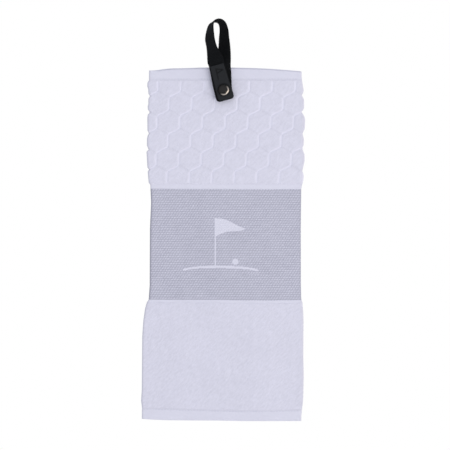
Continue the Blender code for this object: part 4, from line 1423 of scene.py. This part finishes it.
class GOLFTOWEL_OT_snap(Operator):
    """Snap cap, socket, stud and rivet post"""
    bl_idname = "golf_towel.snap"
    bl_label = "Snap"
    bl_options = {"REGISTER", "UNDO"}

    def execute(self, context):
        back = HINGE_Y - KNUCKLE - GAP
        rim = back - 0.0004
        barrel_end = HINGE_Y + KNUCKLE + GAP + 0.00025
        radii = CAP_RADIUS * np.sin(np.linspace(0, math.pi / 2, 26))[:-1]
        dome = [(r, rim - CAP_RISE * (1 - (r / CAP_RADIUS) ** 2.2) ** 0.8) for r in radii]
        cap = dome + [(CAP_RADIUS, rim), (CAP_RADIUS - 0.0001, back - 0.00012),
                      (CAP_RADIUS - 0.0004, back), (0.0019, back), (0.0019, barrel_end),
                      (0.0, barrel_end)]
        domed = self.add("domed_cap", cap, "snap_tab", "snap_cap")
        # painted highlight: a light crescent on the cap's rim, stored at the points
        spots = np.zeros(len(domed.data.vertices) * 3, np.float32)
        domed.data.vertices.foreach_get("co", spots)
        layer = domed.data.attributes.new("worn", "FLOAT", "POINT")
        worn = painted_glint_share(spots.reshape(-1, 3).astype(float))
        layer.data.foreach_set("value", worn.astype(np.float32))
        y_low, y_high = cad_range("snap_socket", 1)
        bore, cavity, wall = 0.0022, 0.0024, 0.0004
        self.add("socket_ring", [
            (bore, y_low), (0.0041, y_low), (0.0049, y_low + 0.00012), (0.0052, y_low + 0.0004),
            (0.0052, y_high - 0.0004), (0.0051, y_high - 0.00015), (0.0048, y_high),
            (0.0032, y_high), (0.0030, y_high - 0.00025), (0.0027, y_high - 0.00025),
            (cavity, y_high - 0.0001), (cavity, y_low + wall), (bore, y_low + wall)],
            "snap_tab", "snap_socket", True)
        tip, base_back = cad_range("snap_stud", 1)
        base = base_back - 0.0006
        self.add("stud_button", [
            (0.0, tip), (0.0012, tip), (0.0017, tip + 0.0001), (0.0020, tip + 0.0003),
            (0.0021, tip + 0.0006), (0.0020, tip + 0.0009), (0.00197, base - 0.0001),
            (0.0022, base), (0.0047, base), (0.00495, base + 0.00015), (0.0050, base_back),
            (0.00145, base_back), (0.00145, tip + 0.00065), (0.0, tip + 0.00065)],
            "strap", "snap_stud")
        post_tip, flange_back = cad_range("snap_post", 1)
        flange = flange_back - 0.0007
        self.add("rivet_post", [
            (0.0, post_tip), (0.0010, post_tip), (0.00115, post_tip + 0.00015),
            (0.00115, flange), (0.0053, flange), (0.0055, flange + 0.0002),
            (0.0055, flange_back - 0.0002), (0.0053, flange_back - 0.00005),
            (0.0050, flange_back), (0.0022, flange_back), (0.0018, flange_back - 0.0003),
            (0.0, flange_back - 0.0003)], "strap", "snap_post")
        return {"FINISHED"}

    @staticmethod
    def add(name, profile, body, node_name, closed=False):
        """Turn a profile round the snap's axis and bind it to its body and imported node."""
        piece = turned(name, profile, (SNAP_X, SNAP_Z), closed=closed)
        return bind(give(piece, "nickel"), body, node_name)


# ------------------------------------------------------------------ operators: stage
class GOLFTOWEL_OT_stage(Operator):
    """Pale floor, soft studio light and a straight-on camera"""
    bl_idname = "golf_towel.stage"
    bl_label = "Studio"
    bl_options = {"REGISTER", "UNDO"}

    def execute(self, context):
        scene, studio = context.scene, context.scene.golf_studio
        scene.view_settings.view_transform = "Standard"
        self.floor(studio)
        self.world(scene, studio)
        focus = Vector((VIEW_CENTRE[0], LAYER_Y["front"], VIEW_CENTRE[1]))
        lamp = bpy.data.lights.new("key_light", "AREA")
        lamp.shape, lamp.size, lamp.energy, lamp.color = "DISK", 0.9, studio.key_power, KEY_COLOUR
        turn = (focus - Vector(KEY_PLACE)).to_track_quat("-Z", "Y").to_euler()
        self.place(scene, lamp, KEY_PLACE, turn)
        view = bpy.data.cameras.new("studio_camera")
        view.lens = view.sensor_width * CAMERA_DISTANCE / VIEW_WIDTH
        view.clip_end = 60.0
        scene.camera = self.place(scene, view, (focus.x, focus.y - CAMERA_DISTANCE, focus.z),
                                  (math.pi / 2, 0.0, 0.0))
        return {"FINISHED"}

    @staticmethod
    def place(scene, data, location, rotation):
        """An object of a lamp or a camera, set in the scene."""
        made = bpy.data.objects.new(data.name, data)
        made.location, made.rotation_euler = location, rotation
        scene.collection.objects.link(made)
        return made

    @staticmethod
    def floor(studio):
        """A thin round slab: x = r cos t, y = r sin t, its rim rounded."""
        rings = np.array([0.3, 1.0, 2.0, 3.25, 3.3, 3.3])
        heights = FLOOR_Z - np.array([0.0, 0.0, 0.0, 0.0, 0.01, 0.03])
        sides = 96
        k = np.arange(sides)
        after = (k + 1) % sides
        x, y = (rings[:, None] * wave(TURN * k / sides) for wave in (np.cos, np.sin))
        points = np.stack([x, y, heights[:, None] + 0 * x], -1).reshape(-1, 3)
        top, low = len(points), (len(rings) - 1) * sides
        points = np.concatenate([points, [[0, 0, FLOOR_Z], [0, 0, FLOOR_Z - 0.03]]])
        quads = np.concatenate([np.stack([k, k + sides, after + sides, after], -1) + ring * sides
                                for ring in range(len(rings) - 1)])
        triangles = np.concatenate([
            np.stack([np.full(sides, top), k, after], -1),
            np.stack([np.full(sides, top + 1), low + after, low + k], -1)])
        made = mesh_object("studio_floor", points, quads, triangles)
        made.data.materials.append(floor_finish(studio.floor_colour))

    @staticmethod
    def world(scene, studio):
        """White background and soft light from all round.

        By direction d the light is fill (1 + 0.6 s(-y)) + side s(d . u), with s a smoothstep:
        stronger from straight in front, and warmer light round u, to the right and down.
        """
        scene.world = bpy.data.worlds.new("studio_world")
        scene.world.use_nodes = True
        tree = scene.world.node_tree
        tree.nodes.clear()
        place = value(tree, "TexCoord", output="Generated")
        lights = []
        for aim, low, high, start, end, colour in (
                ((0.0, -1.0, 0.0), 0.55, 0.93, studio.fill_share, studio.fill_share * 1.6,
                 (0.945, 0.970, 1.035)),
                ((0.82, 0.0, -0.57), 0.45, 0.90, 0.0, studio.side_share, (1.08, 0.98, 0.86))):
            turn = value(tree, "VectorMath", {0: place, 1: aim}, "Value",
                         operation="DOT_PRODUCT")
            power = value(tree, "MapRange", {0: turn, 1: low, 2: high, 3: start, 4: end},
                          interpolation_type="SMOOTHSTEP")
            lights.append(value(tree, "Background", {"Color": colour, "Strength": power}))
        seen = value(tree, "Background", {"Color": (1.0, 1.0, 1.0)})
        both = value(tree, "AddShader", dict(enumerate(lights)))
        ray = value(tree, "LightPath", output="Is Camera Ray")
        node(tree, "OutputWorld", {0: value(tree, "MixShader", {0: ray, 1: both, 2: seen})})


class GOLFTOWEL_PT_panel(Panel):
    """Sidebar panel with the settings and one button for each piece"""
    bl_idname = "GOLFTOWEL_PT_panel"
    bl_label = "Golf Towel"
    bl_space_type = "VIEW_3D"
    bl_region_type = "UI"
    bl_category = "Golf Towel"

    def draw(self, context):
        layout = self.layout
        for settings in (context.scene.golf_towel, context.scene.golf_studio):
            box = layout.box()
            for key in settings.__annotations__:
                box.prop(settings, key)
        for operator in STEPS:
            layout.operator(operator.bl_idname)


STEPS = (GOLFTOWEL_OT_stage, GOLFTOWEL_OT_strap, GOLFTOWEL_OT_tab, GOLFTOWEL_OT_snap,
         GOLFTOWEL_OT_honeycomb, GOLFTOWEL_OT_band, GOLFTOWEL_OT_plain, GOLFTOWEL_OT_hems,
         GOLFTOWEL_OT_stitching, GOLFTOWEL_OT_motif)
CLASSES = (TowelSettings, StudioSettings, *STEPS, GOLFTOWEL_PT_panel)


def register():
    """Register the classes and hang the settings on the scene."""
    for cls in CLASSES:
        bpy.utils.register_class(cls)
    bpy.types.Scene.golf_towel = PointerProperty(type=TowelSettings)
    bpy.types.Scene.golf_studio = PointerProperty(type=StudioSettings)


def unregister():
    """Undo register."""
    del bpy.types.Scene.golf_studio
    del bpy.types.Scene.golf_towel
    for cls in reversed(CLASSES):
        bpy.utils.unregister_class(cls)


def main():
    """Build every piece in order."""
    register()
    for step in STEPS:
        getattr(bpy.ops.golf_towel, step.bl_idname.split(".")[1])()


if __name__ == "__main__":
    main()
